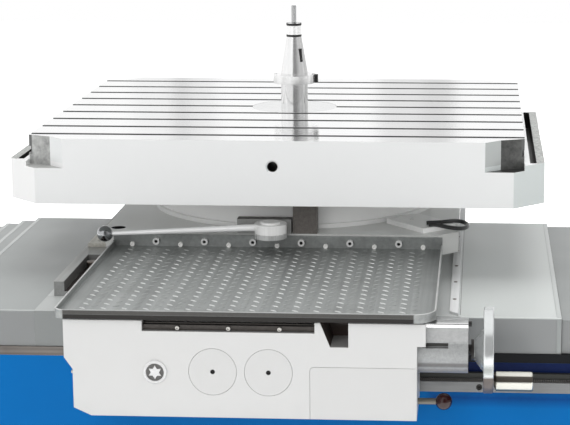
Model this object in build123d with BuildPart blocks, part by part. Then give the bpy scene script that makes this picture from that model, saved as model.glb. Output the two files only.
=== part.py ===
"""Work-table unit of a horizontal boring mill, from the floor up.

The frame is X along the bed to the operator's right, Y away from the operator and Z up, in
millimetres, with the origin on the floor under the middle of the bed. The rest pose has the saddle at
the left end of its travel and the cross slide at the back end of its own.
"""
import math
import os

from build123d import *

# Heights above the floor.
table_top = 1150.0
table_thickness = 200.0
slide_top = 830.0
cross_way_top = 765.0
cover_top = 720.0
bed_way_top = 660.0
bed_ledge_top = 615.0
bed_ledge_height = 26.0
bed_flange_top = 120.0
foot_height = 30.0

# Running gaps, seats and seams.
slide_gap = 0.3
moving_gap = 5.0
shaft_gap = 0.05
seam_gap = 0.8

# Bed and its ways.
bed_half_width = 645.0
bed_flange_overhang = 25.0
bed_way_width = 190.0
bed_trough_depth = 90.0
end_plate_thickness = 20.0
foot_diameter = 110.0
foot_stem_diameter = 60.0
foot_pad_height = 12.0
foot_rows = 3
foot_columns = 5
foot_inset = 130.0

# Telescopic way covers, numbered from the saddle to the bed's end.
cover_count = 5
cover_length = 285.0
cover_sheet = 4.0
cover_inset = 5.0
cover_way_gap = 5.0
cover_half_width = bed_half_width - cover_inset
cover_nesting = cover_sheet + moving_gap
saddle_travel = 780.0
cover_step_closed = 55.0
cover_step_open = cover_step_closed + saddle_travel / (cover_count - 1)
cover_bend = 6.0

bed_way_outer = cover_half_width - cover_count * cover_nesting - cover_way_gap

# Table position at rest, and the cross slide's size, which the turntable base sets.
table_x = -355.0
table_y = 465.0
base_diameter = 950.0
slide_side_margin = 85.0
slide_end_margin = 65.0
slide_half_width = base_diameter / 2 + slide_side_margin
slide_half_length = base_diameter / 2 + slide_end_margin
slide_front = table_y - slide_half_length

# Saddle and its cross ways, which carry the cross slide.
cross_way_width = 160.0
cross_way_left_overhang = 65.0
cross_way_right_setback = 55.0
cross_way_front_setback = 172.0
saddle_left_ledge = 20.0
saddle_right_ledge = 70.0
saddle_back_ledge = 20.0
saddle_wall = 36.0
cross_way_left_edge = table_x - slide_half_width - cross_way_left_overhang
cross_way_right_edge = table_x + slide_half_width - cross_way_right_setback
cross_way_front = -cover_half_width + cross_way_front_setback
saddle_left = cross_way_left_edge - saddle_left_ledge
saddle_right = cross_way_right_edge + saddle_right_ledge
saddle_back = table_y + slide_half_length + saddle_back_ledge

# Bed length follows from the closed covers on the left and the open covers on the right.
bed_left = saddle_left - cover_length - (cover_count - 1) * cover_step_closed
bed_right = saddle_right + cover_length + (cover_count - 1) * cover_step_open

# Wiper strip and stop block beside the cross ways.
wiper_strip_width = 34.0
wiper_strip_height = 8.0
wiper_strip_back_setback = 111.0
wiper_strip_front_setback = 8.0
stop_pocket_length = 350.0
stop_pocket_width = 76.0
stop_pocket_depth = 30.0
stop_pocket_side_wall = 31.0
wiper_strip_back = cover_half_width - wiper_strip_back_setback
wiper_strip_front = -cover_half_width + wiper_strip_front_setback
stop_pocket_edge = cross_way_left_edge + stop_pocket_side_wall
stop_bolt_diameter = 34.0
stop_bolt_edge = 2.0
stop_bolt_side_gap = 8.0
stop_bolt_back_gap = 50.0

# Feed rack on the bed's front.
rack_height = 54.0
rack_top = 562.0
rack_thickness = 24.0
rack_band = 24.0
rack_band_setback = 8.0
rack_screw_spacing = 308.0
rack_screw_diameter = 18.0
rack_screw_depth = 10.0
rack_hidden_length = 207.0

# Apron, hung on the saddle in front of the bed.
apron_top = 771.0
apron_bottom = 501.0
apron_depth = 240.0
apron_rack_gap = 11.0
apron_left_inset = 146.0
apron_right_inset = 90.0
apron_step = 23.0
apron_left_step_height = 131.0
apron_left_step_slant = 33.0
apron_right_step_height = 208.0
apron_corner_width = 48.0
apron_corner_height = 22.0
recess_inset = 216.0
recess_length = 469.0
recess_depth = 29.0
recess_reach = 60.0
notch_recess_gap = 15.0
notch_width = 76.0
notch_slant = 27.0
notch_depth = 67.0
notch_reach = 120.0
strip_height = 15.0
strip_thickness = 12.0
strip_screw_diameter = 12.0
strip_screw_spacing = 139.0
strip_screw_count = 3
strip_screw_head = 4.0
strip_setback = 14.0
panel_thickness = 6.0
panel_dial_gap = 112.0
panel_top = 648.0
panel_corner = 12.0
dial_diameter = 130.0
dial_height = 630.0
dial_inset = 407.0
dial_spacing = 152.0
dial_hole_diameter = 13.0
sight_inset = 250.0
sight_height = 628.0
sight_diameter = 65.0
sight_bore_diameter = 52.0
sight_thickness = 9.0
sight_glass_depth = 5.0
apron_tongue_bottom = 625.0
apron_back = -bed_half_width - rack_thickness - apron_rack_gap
apron_face = apron_back - apron_depth
apron_left = saddle_left + apron_left_inset
apron_right = saddle_right - apron_right_inset
recess_left = apron_left + recess_inset
recess_right = recess_left + recess_length
notch_left = recess_right + notch_recess_gap
notch_right = notch_left + notch_width
dial_left = apron_left + dial_inset
dial_right = dial_left + dial_spacing
panel_left = dial_right + panel_dial_gap
sight_x = apron_left + sight_inset
rack_left = apron_left + rack_hidden_length

# Handwheel, its housing and the pull rod, right of the apron.
wheel_setback = 95.0
wheel_axis_z = 677.0
wheel_diameter = 236.0
wheel_rim_width = 28.0
wheel_rim_thickness = 46.0
wheel_rim_round = 4.0
wheel_rim_offset = 33.0
wheel_web_thickness = 9.0
wheel_hub_diameter = 58.0
wheel_hub_gap = 8.0
wheel_hub_length = 44.0
wheel_shaft_diameter = 30.0
handle_radius_out = 88.0
handle_length = 108.0
handle_diameter = 54.0
handle_neck_diameter = 26.0
handle_neck_length = 8.0
handle_end_round = 6.0
housing_length = 114.0
housing_barrel_diameter = 128.0
housing_top = 753.0
housing_body_depth = 112.0
housing_bore_depth = 40.0
housing_slot_height = 14.0
housing_slot_depth = 14.0
housing_slot_length = 60.0
housing_slot_rise = 33.0
housing_bar_height = 13.0
housing_bar_depth = 40.0
housing_bar_round = 5.0
housing_bar_knob_diameter = 15.0
housing_bar_knob_length = 9.0
pull_rod_height = 528.0
pull_rod_diameter = 18.0
pull_rod_reach = 63.0
pull_rod_depth = 60.0
pull_knob_diameter = 47.0
pull_knob_seat = 8.0
wheel_axis_y = apron_face + wheel_setback
housing_right = apron_right + housing_length
wheel_hub_left = housing_right + wheel_hub_gap
wheel_rim_left = wheel_hub_left + wheel_rim_offset

# Cross slide and what stands on it.
slide_corner = 60.0
slide_guide_depth = 30.0
slide_guide_width = 60.0
guide_side_gap = 2.0
slide_hole_diameter = 46.0
slide_hole_depth = 25.0
slide_hole_side = 43.0
slide_hole_end = 62.0
base_rim_height = 13.0
base_rim_step = 13.0
race_outer_diameter = 800.0
race_inner_diameter = 560.0
pivot_diameter = 200.0
pivot_height = 45.0
pivot_bore_depth = 60.0
pin_housing_width = 75.0
pin_housing_base_gap = 10.0
pin_housing_depth = 55.0
pin_housing_height = 92.0
pin_cap_diameter = 40.0
pin_cap_height = 10.0
pad_length = 190.0
pad_width = 130.0
pad_height = 16.0
pad_side_margin = 109.0
pad_end_margin = 27.0
pad_turn = 40.0

# Tread-plate tray, bolted to the front face of the cross slide.
tray_left_setback = 40.0
tray_right_setback = 48.0
tray_overhang = 25.0
tray_floor = 787.0
tray_sheet = 4.0
tray_lip_top = 805.0
tray_lip_bottom = 780.0
tray_lip = 4.5
tray_corner_right = 62.0
tray_corner_left = 30.0
tray_flange_top = 824.0
tray_flange_thickness = 6.0
tray_bolt_count = 6
tray_bolt_pitch = 152.0
tray_bolt_height = 804.0
tray_bolt_diameter = 22.0
tray_bolt_head = 13.0
tray_bolt_socket = 11.0
side_wiper_length = 150.0
side_wiper_width = 56.0
side_wiper_thickness = 12.0
side_wiper_hole_diameter = 11.0
tray_left = table_x - slide_half_width + tray_left_setback
tray_right = table_x + slide_half_width - tray_right_setback
tray_front = apron_face - tray_overhang

# Clamp lever.
lever_x = -18.0
lever_overhang = 60.0
lever_hub_diameter = 100.0
lever_bracket_thickness = 15.0
lever_bracket_neck = 72.0
lever_bracket_foot = 40.0
lever_foot_left = 112.0
lever_foot_right = 58.0
lever_foot_height = 45.0
lever_hub_height = 30.0
lever_pin_diameter = 24.0
lever_pin_height = 20.0
lever_boss_diameter = 62.0
lever_boss_height = 6.0
lever_ball_diameter = 50.0
lever_length = 518.0
lever_drop = 24.3
lever_rod_large = 22.0
lever_rod_small = 13.0
lever_rod_depth = 20.0
lever_rod_straight = 20.0
lever_rod_taper_room = 0.9
lever_hub_edge = 2.0
lever_centre_x = table_x + lever_x

# Rotary table.
table_half_length = 760.0
table_half_depth = 700.0
slot_count = 9
slot_pitch = 150.0
slot_width = 28.0
slot_neck_depth = 35.0
slot_base_width = 46.0
slot_base_height = 22.0
gutter_ledge = 17.0
gutter_width = 20.0
gutter_depth = 130.0
gutter_end_wall = 12.0
rim_width = 25.0
rim_drop = 75.0
rim_back_setback = 290.0
rim_front_setback = 78.0
front_corner = 95.0
notch_x = 120.0
notch_y = 80.0
notch_floor_drop = 90.0
notch_facet = 48.0
front_hole_diameter = 30.0
front_hole_drop = 80.0
front_hole_depth = 60.0
front_hole_chamfer = 5.0
centre_ring_diameter = 284.0
centre_ring_depth = 14.0
centre_ring_drop = 0.5
arbor_bore_depth = 60.0
arbor_diameter = 90.0
arbor_body_height = 82.0
arbor_flange_diameter = 140.0
arbor_flange_height = 28.0
arbor_neck_height = 4.0
arbor_cone_large = 92.0
arbor_cone_small = 50.0
arbor_cone_height = 124.0
arbor_collar_height = 43.0
arbor_collar_groove = 4.0
arbor_collar_neck = 44.0
arbor_key_width = 22.0
arbor_key_depth = 11.0
arbor_slot_width = 12.0
arbor_slot_height = 44.0
arbor_slot_bottom = 26.0
arbor_slot_turn = 45.0
stud_diameter = 16.0
stud_length = 59.0
stud_seat = 30.0
stud_shank_diameter = 12.0
stud_edge = 2.0

# A cylinder either stands on its plane or hangs below it.
standing = (Align.CENTER, Align.CENTER, Align.MIN)
hanging = (Align.CENTER, Align.CENTER, Align.MAX)

os.makedirs("parts", exist_ok=True)


def keep(builder, name):
    """Labels a finished sub-part and writes it to its own STEP file."""
    builder.part.label = name
    export_step(builder.part, f"parts/{name}.step")


def block(low, high, mode=Mode.ADD):
    """Adds or cuts a box between two opposite corners in the running builder."""
    size = [top - bottom for bottom, top in zip(low, high)]
    middle = [(top + bottom) / 2 for bottom, top in zip(low, high)]
    with Locations(tuple(middle)):
        Box(*size, mode=mode)


# Bed

bed_ledge_bottom = bed_ledge_top - bed_ledge_height
trough_floor = bed_way_top - bed_trough_depth
bed_way_inner = bed_way_outer - bed_way_width
bed_way_seat = bed_ledge_top

with BuildPart() as bed_casting:
    with BuildSketch(Plane.YZ.offset(bed_left)):
        with BuildLine():
            flange_half = bed_half_width + bed_flange_overhang
            Polyline(
                (-flange_half, foot_height),
                (flange_half, foot_height),
                (flange_half, bed_flange_top - bed_flange_overhang),
                (bed_half_width, bed_flange_top),
                (bed_half_width, bed_ledge_bottom),
                (bed_way_outer, bed_ledge_bottom),
                (bed_way_outer, bed_way_seat),
                (bed_way_inner, bed_way_seat),
                (bed_way_inner, trough_floor),
                (-bed_way_inner, trough_floor),
                (-bed_way_inner, bed_way_seat),
                (-bed_way_outer, bed_way_seat),
                (-bed_way_outer, bed_ledge_bottom),
                (-bed_half_width, bed_ledge_bottom),
                (-bed_half_width, bed_flange_top),
                (-flange_half, bed_flange_top - bed_flange_overhang),
                close=True,
            )
        make_face()
    extrude(amount=bed_right - bed_left)
keep(bed_casting, "bed_casting")

for name, side in (("bed_way_front", -1), ("bed_way_back", 1)):
    with BuildPart() as way:
        near, far = sorted((side * bed_way_inner, side * bed_way_outer))
        block((bed_left, near, bed_way_seat), (bed_right, far, bed_way_top))
    keep(way, name)

with BuildPart() as bed_side_strips:
    for side in (-1, 1):
        near, far = sorted((side * bed_way_outer, side * bed_half_width))
        block((bed_left, near, bed_ledge_bottom), (bed_right, far, bed_ledge_top))
keep(bed_side_strips, "bed_side_strips")

end_plate_top = cover_top - (cover_count - 1) * cover_nesting
for name, inner, outward in (("bed_end_left", bed_left, -1), ("bed_end_right", bed_right, 1)):
    near, far = sorted((inner, inner + outward * end_plate_thickness))
    with BuildPart() as end_plate:
        block((near, -bed_half_width, bed_flange_top), (far, bed_half_width, end_plate_top))
        top_edges = end_plate.edges().filter_by(Axis.X).group_by(Axis.Z)[-1]
        chamfer(top_edges, length=bed_half_width - cover_half_width + (cover_count - 1) * cover_nesting)
    keep(end_plate, name)

foot_pitch_x = (bed_right - bed_left - 2 * foot_inset) / (foot_columns - 1)
foot_pitch_y = (2 * bed_half_width - 2 * foot_inset) / (foot_rows - 1)
with BuildPart() as levelling_feet:
    with Locations(((bed_left + bed_right) / 2, 0, 0)):
        with GridLocations(foot_pitch_x, foot_pitch_y, foot_columns, foot_rows):
            Cylinder(foot_diameter / 2, foot_pad_height, align=standing)
            Cylinder(foot_stem_diameter / 2, foot_height, align=standing)
keep(levelling_feet, "levelling_feet")

with BuildPart() as feed_rack:
    rack_front = -bed_half_width - rack_thickness
    rack_bottom = rack_top - rack_height
    block((rack_left, rack_front, rack_bottom), (bed_right, -bed_half_width, rack_top))
    block(
        (rack_left, rack_front, rack_top - rack_band),
        (bed_right, rack_front + rack_band_setback, rack_top),
        mode=Mode.SUBTRACT,
    )
    rack_middle = (rack_left + bed_right) / 2
    screw_count = int((bed_right - rack_left) / rack_screw_spacing)
    rack_screw_plane = Plane((rack_middle, rack_front, rack_bottom + (rack_height - rack_band) / 2),
                             x_dir=(1, 0, 0), z_dir=(0, -1, 0))
    with BuildSketch(rack_screw_plane):
        with GridLocations(rack_screw_spacing, 1, screw_count, 1):
            Circle(rack_screw_diameter / 2)
    extrude(amount=-rack_screw_depth, mode=Mode.SUBTRACT)
keep(feed_rack, "feed_rack")

# Telescopic way covers


def way_cover(number, near_x, toward):
    """Makes one cover segment, an inverted channel, from its edge nearest the saddle outward."""
    half_width = cover_half_width - (number - 1) * cover_nesting
    top = cover_top - (number - 1) * cover_nesting
    low = bed_ledge_top + slide_gap
    low_x, high_x = sorted((near_x, near_x + toward * cover_length))
    with BuildPart() as cover:
        with BuildSketch(Plane.YZ.offset(low_x)):
            with BuildLine():
                outer = FilletPolyline(
                    (-half_width, low), (-half_width, top), (half_width, top), (half_width, low),
                    radius=cover_bend,
                )
                inner = FilletPolyline(
                    (-half_width + cover_sheet, low),
                    (-half_width + cover_sheet, top - cover_sheet),
                    (half_width - cover_sheet, top - cover_sheet),
                    (half_width - cover_sheet, low),
                    radius=cover_bend - cover_sheet,
                )
                Line(outer @ 0, inner @ 0)
                Line(outer @ 1, inner @ 1)
            make_face()
        extrude(amount=high_x - low_x)
    return cover


for number in range(1, cover_count + 1):
    left_x = saddle_left - (number - 1) * cover_step_closed
    right_x = saddle_right + (number - 1) * cover_step_open
    keep(way_cover(number, left_x, -1), f"left_cover_{number}")
    keep(way_cover(number, right_x, 1), f"right_cover_{number}")

# Saddle

saddle_floor = bed_way_top + slide_gap
wall_bottom = bed_ledge_top + slide_gap
with BuildPart() as saddle_casting:
    block((saddle_left, -cover_half_width, saddle_floor), (saddle_right, saddle_back, cover_top))
    block(
        (saddle_left, -cover_half_width, wall_bottom),
        (saddle_right, -cover_half_width + saddle_wall, saddle_floor),
    )
    block(
        (saddle_left, cover_half_width - saddle_wall, wall_bottom),
        (saddle_right, cover_half_width, saddle_floor),
    )
keep(saddle_casting, "saddle_casting")

stop_pocket_floor = cross_way_top - stop_pocket_depth
stop_pocket_back = cross_way_front + stop_pocket_length
left_way_inner = cross_way_left_edge + cross_way_width
right_way_inner = cross_way_right_edge - cross_way_width
with BuildPart() as cross_way_left:
    block((cross_way_left_edge, cross_way_front, cover_top), (left_way_inner, saddle_back, cross_way_top))
    block(
        (stop_pocket_edge, cross_way_front, stop_pocket_floor),
        (stop_pocket_edge + stop_pocket_width, stop_pocket_back, cross_way_top),
        mode=Mode.SUBTRACT,
    )
keep(cross_way_left, "cross_way_left")

with BuildPart() as cross_way_right:
    block((right_way_inner, cross_way_front, cover_top), (cross_way_right_edge, saddle_back, cross_way_top))
keep(cross_way_right, "cross_way_right")

with BuildPart() as stop_bolt:
    bolt_height = stop_pocket_depth - moving_gap
    bolt_x = stop_pocket_edge + stop_bolt_side_gap + stop_bolt_diameter / 2
    bolt_y = stop_pocket_back - stop_bolt_back_gap - stop_bolt_diameter / 2
    with Locations((bolt_x, bolt_y, stop_pocket_floor)):
        Cylinder(stop_bolt_diameter / 2, bolt_height, align=standing)
    chamfer(stop_bolt.edges().group_by(Axis.Z)[-1], length=stop_bolt_edge)
keep(stop_bolt, "stop_bolt")

with BuildPart() as right_wiper_strip:
    with BuildSketch(Plane.XY.offset(cover_top)):
        with BuildLine():
            Polyline(
                (saddle_right - wiper_strip_width, wiper_strip_front),
                (saddle_right, wiper_strip_front + wiper_strip_width),
                (saddle_right, wiper_strip_back),
                (saddle_right - wiper_strip_width, wiper_strip_back),
                close=True,
            )
        make_face()
    extrude(amount=wiper_strip_height)
keep(right_wiper_strip, "right_wiper_strip")

# Apron

left_low = apron_left + apron_step
right_low = apron_right - apron_step


def panel_plan(inset):
    """Draws the gear cover's outline, inset from its pocket's edge, and returns it as a sketch."""
    left = panel_left + inset
    high = panel_top - inset
    corner_start = (left, panel_top - panel_corner)
    corner_end = (panel_left + panel_corner, high)
    with BuildSketch(Plane.XZ.offset(-apron_face)) as plan:
        with BuildLine():
            Line((right_low, apron_bottom), (left, apron_bottom))
            Line((left, apron_bottom), corner_start)
            RadiusArc(corner_start, corner_end, panel_corner - inset)
            Line(corner_end, (right_low, high))
            Line((right_low, high), (right_low, apron_bottom))
        make_face()
    return plan.sketch


with BuildPart() as apron_casting:
    with BuildSketch(Plane.XZ.offset(-apron_back)):
        with BuildLine():
            Polyline(
                (apron_left, apron_top),
                (recess_left, apron_top),
                (recess_left, apron_top - recess_depth),
                (recess_right, apron_top - recess_depth),
                (recess_right, apron_top),
                (notch_left, apron_top),
                (notch_left + notch_slant, apron_top - notch_depth),
                (notch_right, apron_top - notch_depth),
                (notch_right, apron_top),
                (apron_right, apron_top),
                (apron_right, apron_bottom + apron_right_step_height),
                (right_low, apron_bottom + apron_right_step_height),
                (right_low, apron_bottom),
                (left_low + apron_corner_width, apron_bottom),
                (left_low, apron_bottom + apron_corner_height),
                (left_low, apron_bottom + apron_left_step_height),
                (apron_left, apron_bottom + apron_left_step_height + apron_left_step_slant),
                close=True,
            )
        make_face()
    extrude(amount=apron_back - apron_face)
    # The recess and the notch are only as deep as they look from the front.
    block(
        (recess_left, apron_face + recess_reach, apron_top - recess_depth),
        (recess_right, apron_back, apron_top),
    )
    block(
        (notch_left, apron_face + notch_reach, apron_top - notch_depth),
        (notch_right, apron_back, apron_top),
    )
    block(
        (apron_left, apron_back, apron_tongue_bottom),
        (apron_right, -cover_half_width, cover_top),
    )
    # Shallow pockets for the gear cover, the two round covers and the sight glass.
    extrude(panel_plan(0), amount=-panel_thickness, mode=Mode.SUBTRACT)
    with Locations(Plane((0, apron_face, 0), x_dir=(1, 0, 0), z_dir=(0, -1, 0))):
        with Locations((dial_left, dial_height), (dial_right, dial_height)):
            Cylinder(dial_diameter / 2 + seam_gap, panel_thickness,
                     align=hanging, mode=Mode.SUBTRACT)
        with Locations((sight_x, sight_height)):
            Cylinder(sight_bore_diameter / 2, sight_glass_depth,
                     align=hanging, mode=Mode.SUBTRACT)
    with Locations(Plane((right_low, wheel_axis_y, pull_rod_height), z_dir=(1, 0, 0))):
        Hole(pull_rod_diameter / 2 + shaft_gap, depth=pull_rod_depth + moving_gap)
keep(apron_casting, "apron_casting")

with BuildPart() as apron_gear_cover:
    extrude(panel_plan(seam_gap), amount=-panel_thickness)
keep(apron_gear_cover, "apron_gear_cover")

for name, dial_x in (("round_cover_left", dial_left), ("round_cover_right", dial_right)):
    with BuildPart() as round_cover:
        with BuildSketch(Plane.XZ.offset(-apron_face)):
            with Locations((dial_x, dial_height)):
                Circle(dial_diameter / 2)
                Circle(dial_hole_diameter / 2, mode=Mode.SUBTRACT)
        extrude(amount=-panel_thickness)
    keep(round_cover, name)

with BuildPart() as sight_glass:
    with BuildSketch(Plane.XZ.offset(-apron_face)):
        with Locations((sight_x, sight_height)):
            Circle(sight_diameter / 2)
    extrude(amount=sight_thickness)
    with BuildSketch(Plane.XZ.offset(-apron_face)):
        with Locations((sight_x, sight_height)):
            Circle(sight_bore_diameter / 2 - shaft_gap)
    extrude(amount=-sight_glass_depth)
keep(sight_glass, "sight_glass")

with BuildPart() as apron_top_strip:
    strip_floor = apron_top - recess_depth
    block(
        (recess_left, apron_face + strip_setback, strip_floor),
        (recess_right, apron_face + strip_setback + strip_thickness, strip_floor + strip_height),
    )
    strip_plane = Plane(((recess_left + recess_right) / 2, apron_face + strip_setback,
                         strip_floor + strip_height / 2), x_dir=(1, 0, 0), z_dir=(0, -1, 0))
    with BuildSketch(strip_plane):
        with GridLocations(strip_screw_spacing, 1, strip_screw_count, 1):
            Circle(strip_screw_diameter / 2)
    extrude(amount=strip_screw_head)
keep(apron_top_strip, "apron_top_strip")

# Handwheel housing, handwheel and pull rod

with BuildPart() as handwheel_housing:
    with BuildSketch(Plane.YZ.offset(right_low)):
        with Locations((wheel_axis_y, wheel_axis_z)):
            Circle(housing_barrel_diameter / 2)
    extrude(amount=housing_right - right_low)
    # The barrel starts at the apron's wider upper part above the step, and at its narrower part below.
    block(
        (right_low, wheel_axis_y - housing_barrel_diameter, apron_bottom + apron_right_step_height),
        (apron_right, wheel_axis_y + housing_barrel_diameter, housing_top),
        mode=Mode.SUBTRACT,
    )
    body_front = wheel_axis_y - housing_body_depth / 2
    body_back = wheel_axis_y + housing_body_depth / 2
    block((apron_right, body_front, wheel_axis_z), (housing_right, body_back, housing_top))
    slot_top = wheel_axis_z + housing_slot_rise
    block(
        (apron_right, wheel_axis_y - housing_barrel_diameter / 2, slot_top - housing_slot_height),
        (apron_right + housing_slot_length, body_front + housing_slot_depth, slot_top),
        mode=Mode.SUBTRACT,
    )
    with Locations(Plane((housing_right, wheel_axis_y, wheel_axis_z), z_dir=(1, 0, 0))):
        Hole(wheel_shaft_diameter / 2 + shaft_gap, depth=housing_bore_depth)
keep(handwheel_housing, "handwheel_housing")

with BuildPart() as housing_top_bar:
    bar_left = apron_right
    block(
        (bar_left, body_front, housing_top),
        (housing_right, body_front + housing_bar_depth, housing_top + housing_bar_height),
    )
    bar_edges = housing_top_bar.edges().filter_by(Axis.X).group_by(Axis.Z)[-1]
    fillet(bar_edges, radius=housing_bar_round)
    knob_base = (housing_right, body_front + housing_bar_depth / 2, housing_top + housing_bar_height / 2)
    with Locations(Plane(knob_base, z_dir=(1, 0, 0))):
        Cylinder(housing_bar_knob_diameter / 2, housing_bar_knob_length,
                 align=standing)
keep(housing_top_bar, "housing_top_bar")

wheel_rim_right = wheel_rim_left + wheel_rim_width
with BuildPart() as handwheel:
    with BuildSketch(Plane((0, wheel_axis_y, wheel_axis_z), x_dir=(1, 0, 0), z_dir=(0, -1, 0))):
        with BuildLine():
            rim_outer = wheel_diameter / 2
            rim_inner = rim_outer - wheel_rim_thickness
            hub_radius = wheel_hub_diameter / 2
            hub_right = wheel_hub_left + wheel_hub_length
            web_rim_x = (wheel_rim_left + wheel_rim_right + wheel_web_thickness) / 2
            web_hub_x = wheel_hub_left + wheel_web_thickness
            Polyline(
                (wheel_hub_left, 0),
                (wheel_hub_left, hub_radius),
                (web_hub_x, hub_radius),
                (web_rim_x - wheel_web_thickness, rim_inner),
                (wheel_rim_left, rim_inner),
                (wheel_rim_left, rim_outer),
                (wheel_rim_right, rim_outer),
                (wheel_rim_right, rim_inner),
                (web_rim_x, rim_inner),
                (hub_right, hub_radius),
                (hub_right, 0),
                close=True,
            )
        make_face()
    revolve(axis=Axis((0, wheel_axis_y, wheel_axis_z), (1, 0, 0)))
    rim_corners = handwheel.edges().filter_by(GeomType.CIRCLE).filter_by(
        lambda edge: edge.radius > rim_outer - wheel_rim_round
    )
    fillet(rim_corners, radius=wheel_rim_round)
    shaft_inner = housing_right - housing_bore_depth
    with Locations(Plane((shaft_inner, wheel_axis_y, wheel_axis_z), z_dir=(1, 0, 0))):
        Cylinder(wheel_shaft_diameter / 2, wheel_hub_left - shaft_inner,
                 align=standing)
keep(handwheel, "handwheel")

with BuildPart() as handwheel_handle:
    handle_z = wheel_axis_z - handle_radius_out
    with BuildSketch(Plane((0, wheel_axis_y, handle_z), x_dir=(1, 0, 0), z_dir=(0, -1, 0))):
        with BuildLine():
            neck = handle_neck_diameter / 2
            grip = handle_diameter / 2
            grip_right = wheel_rim_right + handle_length
            Line((wheel_rim_right, 0), (wheel_rim_right, neck))
            Line((wheel_rim_right, neck), (wheel_rim_right + handle_neck_length, grip))
            Line((wheel_rim_right + handle_neck_length, grip), (grip_right - handle_end_round, grip))
            RadiusArc((grip_right - handle_end_round, grip), (grip_right, grip - handle_end_round),
                      handle_end_round)
            Line((grip_right, grip - handle_end_round), (grip_right, 0))
            Line((grip_right, 0), (wheel_rim_right, 0))
        make_face()
    revolve(axis=Axis((0, wheel_axis_y, handle_z), (1, 0, 0)))
keep(handwheel_handle, "handwheel_handle")

with BuildPart() as pull_rod:
    rod_start = right_low - pull_rod_depth
    with Locations(Plane((rod_start, wheel_axis_y, pull_rod_height), z_dir=(1, 0, 0))):
        Cylinder(pull_rod_diameter / 2, pull_rod_depth + pull_rod_reach,
                 align=standing)
keep(pull_rod, "pull_rod")

with BuildPart() as pull_knob:
    with Locations((right_low + pull_rod_reach + pull_knob_seat, wheel_axis_y, pull_rod_height)):
        Sphere(pull_knob_diameter / 2)
    with Locations(Plane((right_low + pull_rod_reach, wheel_axis_y, pull_rod_height), z_dir=(-1, 0, 0))):
        Cylinder(pull_rod_diameter / 2 + shaft_gap, pull_knob_diameter,
                 align=standing, mode=Mode.SUBTRACT)
keep(pull_knob, "pull_knob")

# Cross slide

slide_floor = cross_way_top + slide_gap
with BuildPart() as cross_slide_casting:
    with BuildSketch(Plane.XY.offset(slide_floor)):
        with Locations((table_x, table_y)):
            plate = Rectangle(2 * slide_half_width, 2 * slide_half_length)
        chamfer(plate.vertices(), length=slide_corner)
    extrude(amount=slide_top - slide_floor)
    for near_x in (left_way_inner + guide_side_gap, right_way_inner - guide_side_gap - slide_guide_width):
        block(
            (near_x, slide_front + slide_corner, cross_way_top - slide_guide_depth),
            (near_x + slide_guide_width, table_y + slide_half_length - slide_corner, slide_floor),
        )
    with Locations((table_x - slide_half_width + slide_hole_side, slide_front + slide_hole_end, slide_top)):
        Hole(slide_hole_diameter / 2, depth=slide_hole_depth)
keep(cross_slide_casting, "cross_slide_casting")

table_floor = table_top - table_thickness
with BuildPart() as turntable_base:
    with Locations((table_x, table_y, slide_top)):
        Cylinder(base_diameter / 2, base_rim_height, align=standing)
        Cylinder(base_diameter / 2 - base_rim_step, table_floor - moving_gap - slide_top,
                 align=standing)
    with BuildSketch(Plane.XY.offset(table_floor - moving_gap)):
        with Locations((table_x, table_y)):
            Circle(race_outer_diameter / 2)
            Circle(race_inner_diameter / 2, mode=Mode.SUBTRACT)
    extrude(amount=moving_gap - slide_gap)
    with Locations((table_x, table_y, table_floor - moving_gap)):
        Cylinder(pivot_diameter / 2, moving_gap + pivot_height, align=standing)
keep(turntable_base, "turntable_base")

pin_x = lever_centre_x + lever_foot_right + moving_gap
pin_y = table_y - base_diameter / 2 - pin_housing_base_gap - pin_housing_depth
with BuildPart() as index_pin_housing:
    block(
        (pin_x, pin_y, slide_top),
        (pin_x + pin_housing_width, pin_y + pin_housing_depth, slide_top + pin_housing_height),
    )
    cap_place = (pin_x + pin_housing_width / 2, pin_y + pin_housing_depth / 2)
    with Locations((*cap_place, slide_top + pin_housing_height)):
        Cylinder(pin_cap_diameter / 2, pin_cap_height, align=standing)
keep(index_pin_housing, "index_pin_housing")

for name, turn in (("corner_pad_front", 0), ("corner_pad_back", 180)):
    with BuildPart() as corner_pad:
        pad_plane = Plane((table_x, table_y, slide_top)).rotated((0, 0, turn))
        with BuildSketch(pad_plane):
            pad_corner = (slide_half_width - pad_side_margin, -slide_half_length + pad_end_margin, 0)
            with Locations(Location(pad_corner, (0, 0, pad_turn))):
                Rectangle(pad_width, pad_length, align=(Align.MIN, Align.MIN))
            Circle(base_diameter / 2 + seam_gap, mode=Mode.SUBTRACT)
        extrude(amount=pad_height)
    keep(corner_pad, name)

# Tread-plate tray

tray_back = slide_front


def tray_plan(inset):
    """Draws the tray's plan, inset from its outer edge, and returns it as a sketch."""
    left = tray_left + inset
    right = tray_right - inset
    front = tray_front + inset
    left_corner = tray_corner_left - inset
    right_corner = tray_corner_right - inset
    with BuildSketch() as plan:
        with BuildLine():
            FilletPolyline(
                (left, tray_back), (left, front), (right, front), (right, tray_back),
                radius=[left_corner, right_corner],
            )
            Line((right, tray_back), (left, tray_back))
        make_face()
    return plan.sketch


with BuildPart() as tread_tray:
    with BuildSketch(Plane.XY.offset(tray_lip_bottom)):
        add(tray_plan(0))
    extrude(amount=tray_lip_top - tray_lip_bottom)
    with BuildSketch(Plane.XY.offset(tray_floor)):
        add(tray_plan(tray_lip))
    extrude(amount=tray_lip_top - tray_floor, mode=Mode.SUBTRACT)
    with BuildSketch(Plane.XY.offset(tray_lip_bottom)):
        add(tray_plan(tray_lip))
    extrude(amount=tray_floor - tray_sheet - tray_lip_bottom, mode=Mode.SUBTRACT)
    block(
        (tray_left, tray_back - tray_flange_thickness, tray_floor - tray_sheet),
        (tray_right, tray_back, tray_flange_top),
    )
keep(tread_tray, "tread_tray")

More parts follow.
